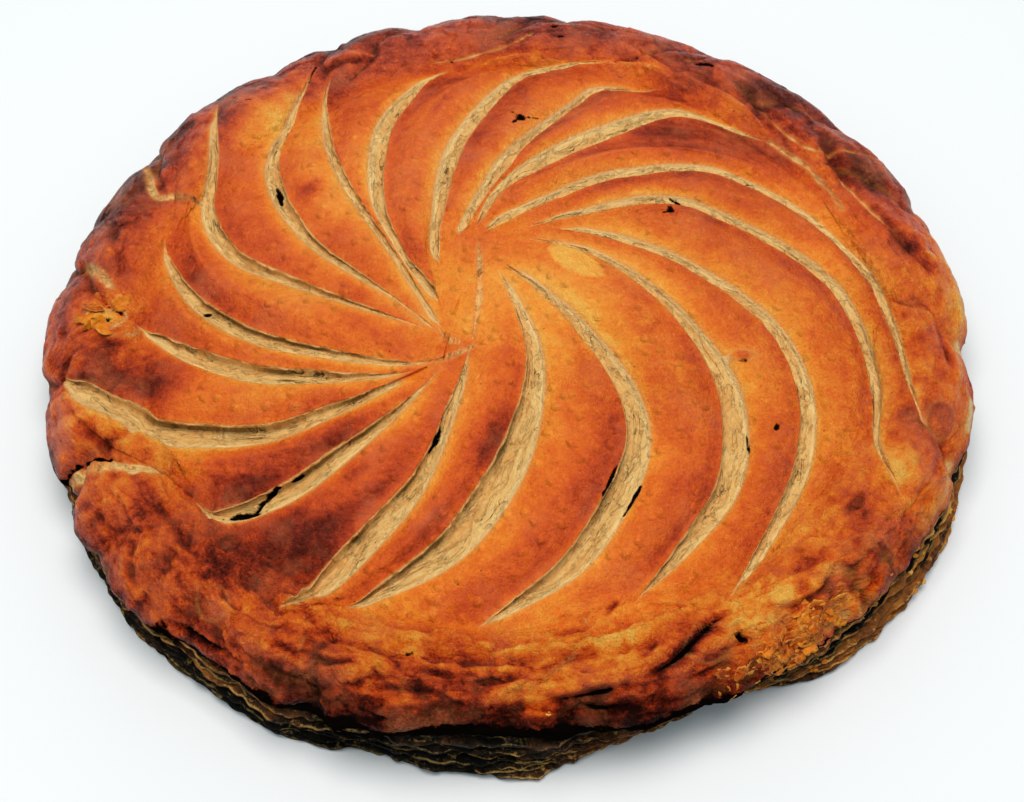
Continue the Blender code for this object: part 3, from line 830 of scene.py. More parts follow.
    def add_layers(self, bare):
        """Ledges of the near side, the groove, and thin layers flaking off."""
        base, reach, near_side = self.base, self.reach, self.near_side
        flaky = bell(wrap(self.degrees - TORN_SIDE), 13.0) * smooth((reach - 121.0) / 8.0)
        self.flaky = np.maximum(flaky, 0.5 * near_side * smooth((reach - 133.0) / 8.0))
        self.lift += 0.9 * near_side * bell(reach - 128.0 - 3.0 * noise(base, 30.0, 14), 5.0)
        self.lift -= 1.5 * near_side * bell(reach - 120.0 - 3.0 * noise(base, 26.0, 15), 3.2)
        self.lift -= 0.7 * bell(reach - 107.5 - 2.5 * noise(base, 26.0, 12), 3.4) * bare
        scales = noise(base * np.array((1.0, 1.0, 1.6)), 6.5, 16)
        scales = scales + 0.5 * noise(base, 2.6, 17)
        self.lift += 1.5 * self.flaky * terrace(scales, 3.5, 0.25)
        papery = terrace(clouds(base, 13.0, 18, 3), 7.0, 0.2)
        self.lift += 0.9 * papery * bare * (0.15 + 0.85 * self.rough)
        ripple = noise(self.lay * np.array((0.28, 1.7, 1.0)), 1.0, 21)
        self.films = terrace(noise(self.lay * np.array((0.13, 0.42, 1.0)), 1.0, 22), 3.0, 0.2)
        self.lift += (0.14 * ripple + 0.40 * self.films) * self.crumb

    def add_blisters(self, bare):
        """Small round blisters, larger and higher near the rim."""
        random = np.random.default_rng(BLISTER_SEED)
        for _ in range(BLISTERS):
            out = BLISTER_REACH * math.sqrt(random.uniform(0.02, 1.0))
            turn = random.uniform(0.0, 2.0 * math.pi)
            size = (0.8 + 3.0 * random.uniform() ** 2) * (1.3 if out > 96 else 0.9)
            high = size * random.uniform(0.09, 0.19) * (1.0 if out > 96 else 0.55)
            dx = self.x - out * math.cos(turn)
            dy = self.y - out * math.sin(turn)
            close = (np.abs(dx) < size) & (np.abs(dy) < size)
            gap = np.hypot(dx[close], dy[close]) / size
            self.lift[close] += high * np.clip(1.0 - gap ** 2, 0, 1) ** 1.3 * bare[close]

    def add_nicks(self):
        """Short cuts and cracks: bare ones where they are wide, else with a pale edge."""
        for points, width, depth, bare, black in NICKS:
            gap, place, _ = line_field(self.x, self.y, points)
            wide = 0.5 * width * (np.sin(math.pi * np.clip(place, 0.03, 0.97)) ** 0.5)
            wide = wide * (1.0 + 0.5 * noise(self.base, 3.0, 60))
            inside = bell(gap, np.maximum(0.75 * wide, 0.3)) * smooth(wide / (0.25 * width))
            inside *= gap < 9.0
            self.lift -= depth * inside
            worn = 0.75 + 0.5 * noise(self.base, 4.0, 61)
            # Black in the slit: painted shade where it is deep, partly real charring.
            self.char = np.maximum(self.char, black * inside)
            if bare > 0.6:
                self.crumb = np.maximum(self.crumb, bare * worn * smooth(inside * 2.0 - 0.3))
                self.edge += 0.9 * bell(gap - 0.7 * wide, 0.8) * worn * (gap < 9.0)
            else:
                self.edge += 1.8 * bare * inside * worn

    def add_patches(self):
        """Layers that have lifted and baked to another tone."""
        for cx, cy, long, wide, turn, rise, brown, bare in PATCHES:
            gap = spot_gap(self.x, self.y, cx, cy, long, wide, turn)
            gap = gap + 0.30 * clouds(self.base, 7.0, 81, 3)
            inside = smooth((1.0 - gap) * math.sqrt(long * wide) / 0.9) * (1.0 - self.crumb)
            self.lift += rise * inside * (0.55 + 0.45 * smooth(gap / 0.9))
            self.folded += brown * inside
            self.edge += bare * bell((gap - 0.97) * wide, 0.5) * (1.0 - self.crumb)

    def add_marks(self):
        """Charred spots and small holes with a ragged edge; the holes' black is painted shade."""
        ragged = 0.35 * noise(self.base, 1.4, 71) + 0.35 * noise(self.base, 3.4, 72)
        for cx, cy, long, wide, turn, black, depth in MARKS:
            plain = spot_gap(self.x, self.y, cx, cy, long, wide, turn)
            gap = plain + ragged
            near = plain < 2.6
            self.char = np.maximum(self.char, black * smooth((2.0 - gap) / 1.9) * near)
            self.lift -= depth * smooth((1.3 - gap) / 0.8) * near

    def paint(self):
        """What the material reads: how brown, bare, charred and dull each place is, with painted
        shade in the creases and along the lip.
        """
        base, reach, near_side = self.base, self.reach, self.near_side
        near_lip = bell(wrap(self.degrees - LIP_MIDDLE), 30.0)
        torn = self.flaky * (1.0 - near_side * smooth((300.0 - self.degrees % 360.0) / 12.0))
        self.brown = self.browning(near_lip, torn)
        right = bell(wrap(self.degrees - 352.0), 26.0)
        ledge = smooth(0.55 + 1.1 * noise(base, 11.0, 59)) * bell(reach - 140.5, 2.6)
        self.edge += 1.1 * right * ledge
        self.brown -= 0.12 * right * smooth((reach - 130.0) / 8.0)
        self.shade += smooth((reach - 130.0) / 8.0) * bell(wrap(self.degrees - 300.0), 75.0)
        far = bell(wrap(self.degrees - 105.0), 70.0) * smooth((reach - 106.0) / 10.0)
        self.shade -= far
        self.brown += 0.06 * far
        dry = smooth(0.5 + 1.2 * noise(base, 6.0, 55))
        self.edge += 0.25 * self.seam * dry * (1.0 - 0.8 * near_side)
        self.edge += 0.5 * torn * smooth(1.5 * noise(base, 3.0, 56) + 0.3)
        # Painted shade in the notch creases, partly real dark baking: black along each crease.
        dark = smooth(self.crease * 1.4 - 0.5) * smooth(0.5 + 1.4 * noise(base, 9.0, 57))
        self.char = np.maximum(self.char, 0.7 * dark)
        # Painted shade, partly real dark baking: black along the roll's lip and over its
        # underside.
        lip = smooth((reach - 143.0 + 3.0 * near_lip + 2.5 * clouds(base, 7.0, 58, 3)) / 3.0)
        self.char = np.maximum(self.char, 0.9 * lip)
        self.shade += 0.2 * self.crumb * smooth(-2.0 * self.films - 0.4)

    def browning(self, near_lip, torn):
        """How far each place has baked, from pale gold at 0 to black at 1; hollows, creases and
        the lip's underside also get painted shade, and some fold crests painted highlights.
        """
        base, reach, near_side = self.base, self.reach, self.near_side
        between = smooth(self.share / 0.2)[:, None] * smooth((1.04 - self.share) / 0.16)[:, None]
        brown = 0.46 + 0.34 * (self.part - 0.45) * self.petal * between
        brown -= 0.17 * self.golden
        brown = brown + 0.10 * smooth((reach - 110.0) / 18.0)
        brown -= 0.10 * bell(reach - GROOVE, 8.0) * (0.4 + 0.6 * near_side)
        for cx, cy, size, amount in BROWNING:
            gap = (self.x - cx) ** 2 + (self.y - cy) ** 2
            brown = brown + amount * np.exp(-gap / size ** 2)
        streaks = clouds(self.lay * np.array((0.045, 0.11, 1.0)), 1.0, 53, 4)
        around = np.stack((reach / 7.0, np.radians(self.degrees) * GROOVE / 17.0,
                           0.0 * reach), axis=-1)
        hub = 1.0 - smooth(self.share / 0.15)[:, None]
        on_crown = smooth((GROOVE + 4.0 - reach) / 12.0)
        streaks = streaks * (1.0 - hub) + clouds(base, 12.0, 50, 3) * hub
        streaks = streaks * on_crown + clouds(around, 1.0, 54, 4) * (1.0 - on_crown)
        brown += (0.13 + 0.06 * self.on_rim) * streaks + 0.08 * clouds(base, 15.0, 51, 3)
        brown += 0.07 * clouds(base, 4.0, 52, 3)
        # Painted shade and light: browner in the hollows, paler on the lumps, most on the rim.
        hollow_shade = np.clip(1.6 * self.hollow, -0.7, 0.25 + 0.75 * self.on_rim)
        brown += 0.13 * hollow_shade * (0.7 + (0.5 + 0.6 * near_side) * self.on_rim)
        brown += self.folded + self.plate_tone * (1.0 - self.crumb)
        # Darker towards the roll's lip and over its underside: painted shade, partly real dark
        # baking.
        brown += 0.35 * smooth((reach - 138.0) / 9.0)
        brown += 0.12 * near_side * smooth((reach - 129.0) / 10.0) * (1.0 - torn)
        brown += 0.34 * near_lip * smooth((reach - 131.0) / 8.0)
        # Browner in the notch creases (painted shade, partly real browning), paler where the rim
        # is torn.
        brown += 0.35 * self.crease - 0.15 * torn
        return np.where(brown > 0.8, 0.8 + 0.5 * (brown - 0.8), brown)


# ---------------------------------------------------------------- making pieces


def quads_of(index, rings_closed=False, columns_closed=False):
    """Faces between the rings and columns of a grid of point numbers."""
    index = np.pad(index, ((0, int(rings_closed)), (0, int(columns_closed))), "wrap")
    quads = (index[:-1, :-1], index[1:, :-1], index[1:, 1:], index[:-1, 1:])
    return np.stack(quads, axis=-1).reshape(-1, 4)


def new_piece(name, points, faces, material, slot, **values):
    """A piece on the pie's body, with the given values at its points."""
    mesh = bpy.data.meshes.new(name)
    mesh.vertices.add(len(points))
    mesh.vertices.foreach_set("co", np.asarray(points, np.float32).ravel())
    faces = np.asarray(faces, np.int32)
    corners = faces.shape[1]
    mesh.loops.add(faces.size)
    mesh.loops.foreach_set("vertex_index", faces.ravel())
    mesh.polygons.add(len(faces))
    mesh.polygons.foreach_set("loop_start", np.arange(0, faces.size, corners, dtype=np.int32))
    mesh.update(calc_edges=True)
    mesh.materials.append(material)
    mesh.shade_smooth()
    piece = bpy.data.objects.new(name, mesh)
    bpy.context.scene.collection.objects.link(piece)
    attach(piece, "root")
    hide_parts("galette")
    for label, numbers in values.items():
        add_values(mesh, label, numbers)
    return piece


def add_values(mesh, name, values):
    """Stores a value or a vector at each point, for the materials to read."""
    values = np.asarray(values, np.float32)
    kind = "FLOAT_VECTOR" if values.ndim == 2 else "FLOAT"
    attribute = mesh.attributes.new(name, kind, "POINT")
    attribute.data.foreach_set("vector" if kind == "FLOAT_VECTOR" else "value",
                               values.ravel())


def add_map(mesh, u, v):
    """UV map that spreads the piece over the whole square for its baked textures."""
    layer = mesh.uv_layers.new(name="OFBake")
    corner = np.empty(len(mesh.loops), np.int32)
    mesh.loops.foreach_get("vertex_index", corner)
    layer.data.foreach_set("uv", np.stack((u[corner], v[corner]), axis=1)
                           .astype(np.float32).ravel())


def to_frame(points, centre):
    """Drawn millimetres to metres in the frame, the outline centred on the CAD box."""
    middle = 0.5 * (np.array(LOW) + np.array(HIGH))
    moved = (points - centre) * MM
    moved[..., :2] += middle[:2]
    moved[..., 2] += LOW.z
    return moved


def srgb(red, green, blue):
    """Linear colour from the usual 0 to 255 values."""
    values = []
    for value in (red, green, blue):
        value /= 255.0
        values.append(value / 12.92 if value < 0.04045 else ((value + 0.055) / 1.055) ** 2.4)
    return (*values, 1.0)


# ---------------------------------------------------------------- materials


class Paint:
    """A node material, with short calls for the nodes that it is made of."""

    def __init__(self, name):
        self.material = bpy.data.materials.new(name)
        self.material.use_nodes = True
        self.tree = self.material.node_tree
        self.shader = self.tree.nodes["Principled BSDF"]

    def node(self, kind, inputs=None, **settings):
        """A new node with its settings and its inputs by name."""
        node = self.tree.nodes.new(kind)
        for name, value in settings.items():
            setattr(node, name, value)
        for name, value in (inputs or {}).items():
            self.feed(node.inputs[name], value)
        return node

    def feed(self, socket, value):
        """Links an output to the input, or sets the input's value."""
        if isinstance(value, bpy.types.NodeSocket):
            self.tree.links.new(value, socket)
        else:
            socket.default_value = value

    def place(self):
        return self.node("ShaderNodeTexCoord").outputs["Object"]

    def value(self, name):
        return self.node("ShaderNodeAttribute", attribute_name=name).outputs["Fac"]

    def vector(self, name):
        return self.node("ShaderNodeAttribute", attribute_name=name).outputs["Vector"]

    def surface(self, **values):
        """Sets or links the shader's inputs, with _ for the spaces in their names."""
        for name, value in values.items():
            self.feed(self.shader.inputs[name.replace("_", " ")], value)

    def maths(self, operation, first, second=0.0, clamp=False):
        node = self.node("ShaderNodeMath", operation=operation, use_clamp=clamp)
        self.feed(node.inputs[0], first)
        self.feed(node.inputs[1], second)
        return node.outputs[0]

    def plus(self, first, second, clamp=False):
        return self.maths("ADD", first, second, clamp)

    def times(self, first, second):
        return self.maths("MULTIPLY", first, second)

    def apart(self, first, second):
        """How far two values are apart."""
        return self.maths("ABSOLUTE", self.maths("SUBTRACT", first, second))

    def stretched(self, vector, scale):
        node = self.node("ShaderNodeVectorMath", operation="MULTIPLY")
        self.feed(node.inputs[0], vector)
        node.inputs[1].default_value = scale
        return node.outputs[0]

    def bent(self, vector, amount, size):
        """The vector shifted by a noise value, so that cells on it aren't so regular."""
        shift = self.maths("MULTIPLY", self.maths("SUBTRACT", amount, 0.5), 2.0 * size)
        node = self.node("ShaderNodeVectorMath", operation="ADD")
        self.feed(node.inputs[0], vector)
        self.feed(node.inputs[1], shift)
        return node.outputs[0]

    def lumps(self, vector, scale, detail=3.0, rough=0.55, bend=0.0):
        """Noise texture from 0 to 1."""
        node = self.node("ShaderNodeTexNoise", {"Vector": vector, "Scale": scale,
                                                "Detail": detail, "Roughness": rough,
                                                "Distortion": bend})
        return node.outputs["Fac"]

    def cells(self, vector, scale):
        return self.node("ShaderNodeTexVoronoi", {"Vector": vector, "Scale": scale})

    def span(self, value, low, high, first=0.0, last=1.0):
        """The value taken from one range to another, and held at its ends."""
        node = self.node("ShaderNodeMapRange", {"Value": value, "From Min": low,
                                                "From Max": high, "To Min": first,
                                                "To Max": last})
        return node.outputs["Result"]

    def ramp(self, value, stops):
        """Colour for a value, from places and 0 to 255 colours."""
        node = self.node("ShaderNodeValToRGB", {"Fac": value})
        elements = node.color_ramp.elements
        while len(elements) < len(stops):
            elements.new(0.5)
        for element, (place, colour) in zip(elements, stops):
            element.position = place
            element.color = srgb(*colour)
        return node.outputs["Color"]

    def mix(self, share, first, second):
        node = self.node("ShaderNodeMix", data_type="RGBA")
        self.feed(node.inputs[0], share)
        self.feed(node.inputs[6], first)
        self.feed(node.inputs[7], second)
        return node.outputs[2]

    def bump(self, height, distance):
        node = self.node("ShaderNodeBump", {"Height": height, "Distance": distance,
                                            "Strength": 1.0})
        return node.outputs["Normal"]


CRUST_STOPS = ((0, (255, 184, 74)), (0.2, (252, 147, 40)), (0.4, (236, 106, 18)),
               (0.56, (212, 76, 11)), (0.7, (166, 48, 9)), (0.84, (102, 27, 8)),
               (1, (34, 10, 6)))
CRUMB_STOPS = ((0.25, (178, 122, 58)), (0.42, (240, 176, 98)), (0.58, (255, 204, 124)),
               (0.8, (255, 226, 158)))
CRUST_SPECULAR = 0.17    # about the mean of what is linked to it


def crust_paint():
    """Glazed crust with painted sheen, bare crumb in the open cuts, and black for char and painted
    shade.
    """
    paint = Paint("glazed_crust")
    place = paint.place()
    broad = paint.lumps(place, 80.0, 8.0, 0.68, 0.5)
    middle = paint.lumps(place, 330.0, 6.0, 0.7, 0.4)
    fine = paint.lumps(place, 1000.0, 4.0, 0.65)
    grit = paint.lumps(place, 2600.0, 2.0, 0.6)
    bubbles = paint.cells(paint.bent(place, middle, 0.0012), 250.0)
    bubble = paint.times(paint.span(bubbles.outputs["Distance"], 0.12, 0.42, 1.0, 0.0),
                         paint.span(bubbles.outputs["Color"], 0.35, 0.6))
    mottling = paint.span(broad, 0.25, 0.75, -0.07, 0.07)
    for lumps, most in ((middle, 0.12), (fine, 0.11), (grit, 0.07)):
        mottling = paint.plus(mottling, paint.span(lumps, 0.25, 0.75, -most, most))
    mottling = paint.plus(mottling, paint.span(bubble, 0.0, 1.0, 0.01, -0.06))
    mottling = paint.times(mottling, paint.span(paint.value("rough"), 0.0, 0.8, 0.6, 1.1))
    brown = paint.plus(paint.value("brown"), mottling, clamp=True)
    crust = paint.ramp(brown, CRUST_STOPS)
    # Painted sheen: salmon patches of glaze colour standing in for gloss, on the middle browns.
    painted_sheen = paint.times(paint.span(paint.lumps(place, 60.0, 4.0, 0.6), 0.5, 0.68),
                         paint.span(fine, 0.35, 0.65, 0.2, 1.0))
    painted_sheen = paint.times(painted_sheen, paint.span(brown, 0.3, 0.62, 0.2, 0.62))
    crust = paint.mix(painted_sheen, crust, srgb(224, 118, 72))
    specks = paint.cells(place, 300.0)
    speck = paint.span(specks.outputs["Distance"], 0.05, 0.11, 1.0, 0.0)
    speck = paint.times(speck, paint.span(specks.outputs["Color"], 0.80, 0.82))
    crust = paint.mix(paint.times(speck, 0.75), crust, srgb(56, 20, 12))
    edge = paint.value("edge")
    crust = paint.mix(paint.span(edge, 0.05, 0.75, 0.0, 0.85), crust, srgb(240, 146, 64))
    crust = paint.mix(paint.span(edge, 0.55, 1.0), crust, srgb(248, 204, 136))

    lay = paint.vector("lay")
    grain = paint.lumps(paint.stretched(lay, (0.30, 0.50, 1.0)), 1.0, 7.0, 0.68, 0.9)
    lines = paint.lumps(paint.stretched(lay, (0.06, 0.40, 1.0)), 1.0, 4.0, 0.6, 1.2)
    pits = paint.lumps(paint.stretched(lay, (0.9, 1.8, 1.0)), 1.0, 4.0, 0.75)
    sheets = paint.lumps(paint.stretched(lay, (0.10, 0.30, 1.0)), 1.0, 5.0, 0.66, 0.6)
    cracks = paint.lumps(paint.stretched(lay, (0.05, 0.30, 1.0)), 1.0, 3.0, 0.6, 0.9)
    here = paint.lumps(paint.stretched(lay, (0.06, 0.06, 1.0)), 1.0, 2.0, 0.5)
    sheet = paint.span(sheets, 0.485, 0.515, -0.035, 0.035)
    tone = paint.plus(paint.times(grain, 0.7), paint.times(lines, 0.35))
    crumb = paint.ramp(paint.plus(tone, sheet), CRUMB_STOPS)
    # Painted shadow: a dark line along the edges of the torn sheets.
    torn = paint.apart(sheets, 0.49)
    crumb = paint.mix(paint.span(torn, 0.0, 0.010, 0.2, 0.0), crumb, srgb(150, 98, 46))
    crack = paint.times(paint.span(paint.apart(cracks, 0.50), 0.003, 0.010, 0.85, 0.0),
                        paint.span(here, 0.50, 0.58))
    crumb = paint.mix(crack, crumb, srgb(66, 40, 18))
    split = paint.plus(paint.apart(lines, 0.52), paint.span(pits, 0.35, 0.6, 0.0, 0.03))
    crumb = paint.mix(paint.span(split, 0.0, 0.012, 0.27, 0.0), crumb, srgb(150, 104, 50))
    crumb = paint.mix(paint.span(pits, 0.64, 0.69, 0.0, 0.7), crumb, srgb(104, 66, 26))
    crumb = paint.mix(paint.span(edge, 0.2, 1.0, 0.0, 0.5), crumb, srgb(255, 214, 138))
    shade = paint.plus(paint.value("shade"), paint.span(pits, 0.3, 0.7, -0.4, 0.3))
    crumb = paint.mix(paint.span(shade, 0.2, 0.9, 0.0, 0.75), crumb, srgb(112, 78, 34))
    colour = paint.mix(paint.value("crumb"), crust, crumb)
    # Black for real charring, and for painted shade in holes, slits, creases and under the lip.
    ragged = paint.times(paint.value("char"), paint.span(middle, 0.25, 0.75, 0.45, 1.6))
    black = paint.span(ragged, 0.42, 0.62)
    paint.surface(Base_Color=paint.mix(black, colour, srgb(13, 8, 6)))

    matte = paint.maths("MAXIMUM", paint.value("crumb"), black)
    gloss = paint.span(middle, 0.3, 0.7, 0.20, 0.36)
    paint.surface(Roughness=paint.plus(gloss, paint.times(matte, 0.35), clamp=True))
    sheen = paint.times(paint.span(black, 0.0, 0.7, 0.3, 0.0),
                        paint.span(brown, 0.6, 0.95, 1.0, 0.3))
    sheen = paint.times(sheen, paint.span(paint.value("shade"), -1.0, 1.0, 1.9, 0.2))
    paint.surface(Specular_IOR_Level=CRUST_SPECULAR)
    paint.surface(Specular_IOR_Level=sheen)

    grainy = paint.value("rough")
    skin = paint.times(fine, paint.span(grainy, 0.0, 1.0, 0.8, 1.5))
    for relief, share in ((middle, 1.2), (grit, paint.span(grainy, 0.0, 1.0, 0.35, 0.8)),
                          (bubble, 0.7)):
        skin = paint.plus(skin, paint.times(relief, share))
    layers = paint.times(grain, 1.3)
    for relief, share in ((pits, 0.8), (sheet, 8.0), (crack, -1.2)):
        layers = paint.plus(layers, paint.times(relief, share))
    height = paint.node("ShaderNodeMix", {"Factor": paint.value("crumb"), "A": skin,
                                          "B": layers}, data_type="FLOAT").outputs[0]
    paint.surface(Normal=paint.bump(height, 0.0010))
    return paint.material


def leaf_paint():
    """Dark baked leaves with tan, ragged edges."""
    paint = Paint("dark_leaves")
    place = paint.place()
    broad = paint.lumps(place, 130.0, 6.0, 0.7, 0.5)
    fine = paint.lumps(place, 620.0, 5.0, 0.72, 0.4)
    plies = paint.lumps(paint.stretched(place, (0.22, 0.22, 2.0)), 560.0, 3.0, 0.6, 0.6)
    tone = paint.plus(paint.times(broad, 0.55), paint.times(fine, 0.45))
    tone = paint.plus(tone, paint.value("tone"))
    skin = paint.ramp(tone, ((0.32, (12, 11, 9)), (0.44, (44, 34, 24)),
                             (0.54, (104, 62, 36)), (0.68, (168, 98, 40)),
                             (0.86, (206, 144, 66))))
    edge = paint.plus(paint.value("edge"), paint.span(fine, 0.3, 0.7, -0.6, 0.3))
    ply = paint.times(paint.span(plies, 0.54, 0.60), paint.span(fine, 0.45, 0.6))
    edge = paint.maths("MAXIMUM", edge, paint.times(ply, 0.75))
    tan = paint.mix(paint.span(tone, 0.36, 0.62), srgb(146, 116, 62), srgb(228, 170, 92))
    paint.surface(Base_Color=paint.mix(paint.span(edge, 0.3, 0.85, 0.0, 0.9), skin, tan),
                  Roughness=0.5, Specular_IOR_Level=0.08, Normal=paint.bump(fine, 0.0009))
    return paint.material


def flake_paint():
    """Thin golden flakes with paler edges."""
    paint = Paint("torn_flakes")
    place = paint.place()
    broad = paint.lumps(place, 130.0, 3.0, 0.6)
    fine = paint.lumps(place, 900.0, 3.0, 0.6)
    tone = paint.plus(paint.value("tone"), paint.span(broad, 0.2, 0.8, -0.18, 0.18))
    tone = paint.plus(tone, paint.span(fine, 0.2, 0.8, -0.12, 0.12), clamp=True)
    skin = paint.ramp(tone, ((0.15, (88, 32, 5)), (0.40, (180, 76, 7)),
                             (0.62, (224, 131, 26)), (0.85, (240, 180, 76))))
    edge = paint.plus(paint.value("edge"), paint.span(fine, 0.25, 0.75, -0.5, 0.1))
    pale = srgb(222, 168, 86)
    paint.surface(Base_Color=paint.mix(paint.span(edge, 0.5, 1.0, 0.0, 0.7), skin, pale),
                  Roughness=0.42, Specular_IOR_Level=0.12, Normal=paint.bump(fine, 0.0004))
    return paint.material


def plain_paint(name, colour, roughness, size=200.0):
    """One colour, with darker and lighter patches of it."""
    paint = Paint(name)
    spots = paint.lumps(paint.place(), size, 4.0, 0.6)
    darker = [channel * 0.75 for channel in colour]
    lighter = [channel * 1.25 for channel in colour]
    paint.surface(Base_Color=paint.ramp(spots, ((0.3, darker), (0.7, lighter))),
                  Roughness=roughness, Normal=paint.bump(spots, 0.0004))
    return paint.material


# ---------------------------------------------------------------- crust pieces


def crust_pieces(crust, centre, material):
    """The crust's meshes, each a share of its columns and of the hub's middle."""
    rings, columns = crust.rings, crust.columns
    points = to_frame(crust.points, centre)
    normals = grid_normals(crust.points)
    cuts = np.linspace(0, columns, SECTORS + 1).astype(int)
    pole = to_frame(np.array([*SWIRL, GROOVE_Z + CROWN_RISE]), centre)
    pole[2] = points[0, :, 2].mean()
    for sector in range(SECTORS):
        chosen = np.arange(cuts[sector], cuts[sector + 1] + 1) % columns
        wide = len(chosen)
        block = points[:, chosen].reshape(-1, 3)
        facing = normals[:, chosen].reshape(-1, 3)
        index = np.arange(rings * wide).reshape(rings, wide)
        piece = new_piece(f"crust_{sector + 1}", np.vstack((block, pole[None])),
                          quads_of(index), material, "crust")
        mesh = piece.data
        add_fan(mesh, index[0], rings * wide)
        u = np.tile(np.linspace(0.002, 0.998, wide), rings)
        v = np.repeat(np.linspace(0.01, 0.998, rings), wide)
        add_map(mesh, np.append(u, 0.5), np.append(v, 0.002))
        for label in ("brown", "crumb", "shade", "edge", "char", "rough"):
            values = getattr(crust, label)[:, chosen].ravel()
            add_values(mesh, label, np.append(values, values[:wide].mean()))
        lay = crust.lay[:, chosen].reshape(-1, 3)
        add_values(mesh, "lay", np.vstack((lay, lay[:1])))
        upright = np.array([[0.0, 0.0, 1.0]])
        mesh.normals_split_custom_set_from_vertices(np.vstack((facing, upright)).tolist())


def add_fan(mesh, ring, pole):
    """Closes the small hole at the hub with triangles to its middle."""
    work = bmesh.new()
    work.from_mesh(mesh)
    work.verts.ensure_lookup_table()
    for first, second in zip(ring[:-1], ring[1:]):
        face = work.faces.new((work.verts[int(first)], work.verts[int(second)],
                               work.verts[int(pole)]))
        face.smooth = True
    work.to_mesh(mesh)
    work.free()


# ---------------------------------------------------------------- side leaves

# Leaves under the crust, from the top one down: height, thickness, and how far their
# edge is on the way from the roll's lip to the base outline.
LEAVES = (
    (16, 0.5, -0.12), (14.8, 0.5, 0.08), (13.7, 0.6, 0), (11.5, 2.3, 0.3),
    (9.5, 0.5, 0.42), (8, 1.5, 0.58), (6.3, 0.5, 0.5), (4.9, 1.3, 0.78),
    (3.6, 0.5, 0.92), (2.4, 0.9, 0.86), (1.1, 0.8, 0.98),
)
# Tone of the leaves round the pie: first and last leaf, angle, spread, amount.
LEAF_TONES = (
    (0, 10, 266, 20, -0.1), (0, 2, 236, 24, -0.22), (3, 3, 232, 16, 0.05), (4, 4, 236, 15, -0.12),
    (5, 5, 236, 16, 0.16), (6, 6, 240, 14, -0.1), (7, 10, 238, 20, -0.2), (2, 2, 330, 34, -0.1),
    (3, 3, 326, 30, 0.17), (4, 4, 322, 34, -0.3), (5, 5, 330, 30, 0.18), (6, 6, 330, 34, -0.3),
    (7, 10, 330, 34, 0.13), (3, 9, 305, 10, 0.1), (4, 10, 283, 8, 0.14), (0, 10, 200, 20, 0.04),
    (0, 10, 90, 70, 0.06),
)
# Where the edges of the leaves are paler: first and last leaf, angle, spread, amount.
LEAF_BARE = ((1, 1, 236, 16, 0.5), (3, 5, 236, 18, 0.6), (7, 10, 265, 18, 0.4),
             (2, 6, 335, 26, 0.5))
LEAF_COLUMNS = 900
LEAF_INNER = 119.0
# Cross-section of a leaf, from its top over its edge to its underside: share of the way
# out, place through its thickness, and how bare of glaze it is.
LEAF_SECTION = (
    (0, 1, 0), (0.44, 1, 0), (0.66, 1, 0), (0.82, 1, 0),
    (0.92, 1, 0.1), (0.97, 1, 0.3), (1, 1, 0.85), (1.01, 0.6, 0.4),
    (1.005, 0.1, 0.15), (1.01, -0.5, 0.4), (1, -1, 1), (0.97, -1, 0.3),
    (0.6, -1, 0), (0, -1, 0),
)


def side_wave(degrees):
    """How the leaves rise and dip together round the pie, in mm at the top leaf."""
    return 1.3 * ring_noise(degrees, 45.0, 61) + 0.8 * ring_noise(degrees, 17.0, 62)


def leaf_outline(degrees, number):
    """Radius of a leaf's ragged edge."""
    seed = 80 + 5 * number
    _, _, share = LEAVES[number]
    ragged = (0.9 * ring_noise(degrees, 22.0, seed) + 0.8 * ring_noise(degrees, 6.5, seed + 1)
              + 0.7 * ring_noise(degrees, 2.4, seed + 2))
    lip = roll_radius(degrees) - 1.6
    foot = LEAF_RADIUS - dips(degrees, LEAF_DIPS) - 0.6
    return lip + (foot - lip) * share + ragged


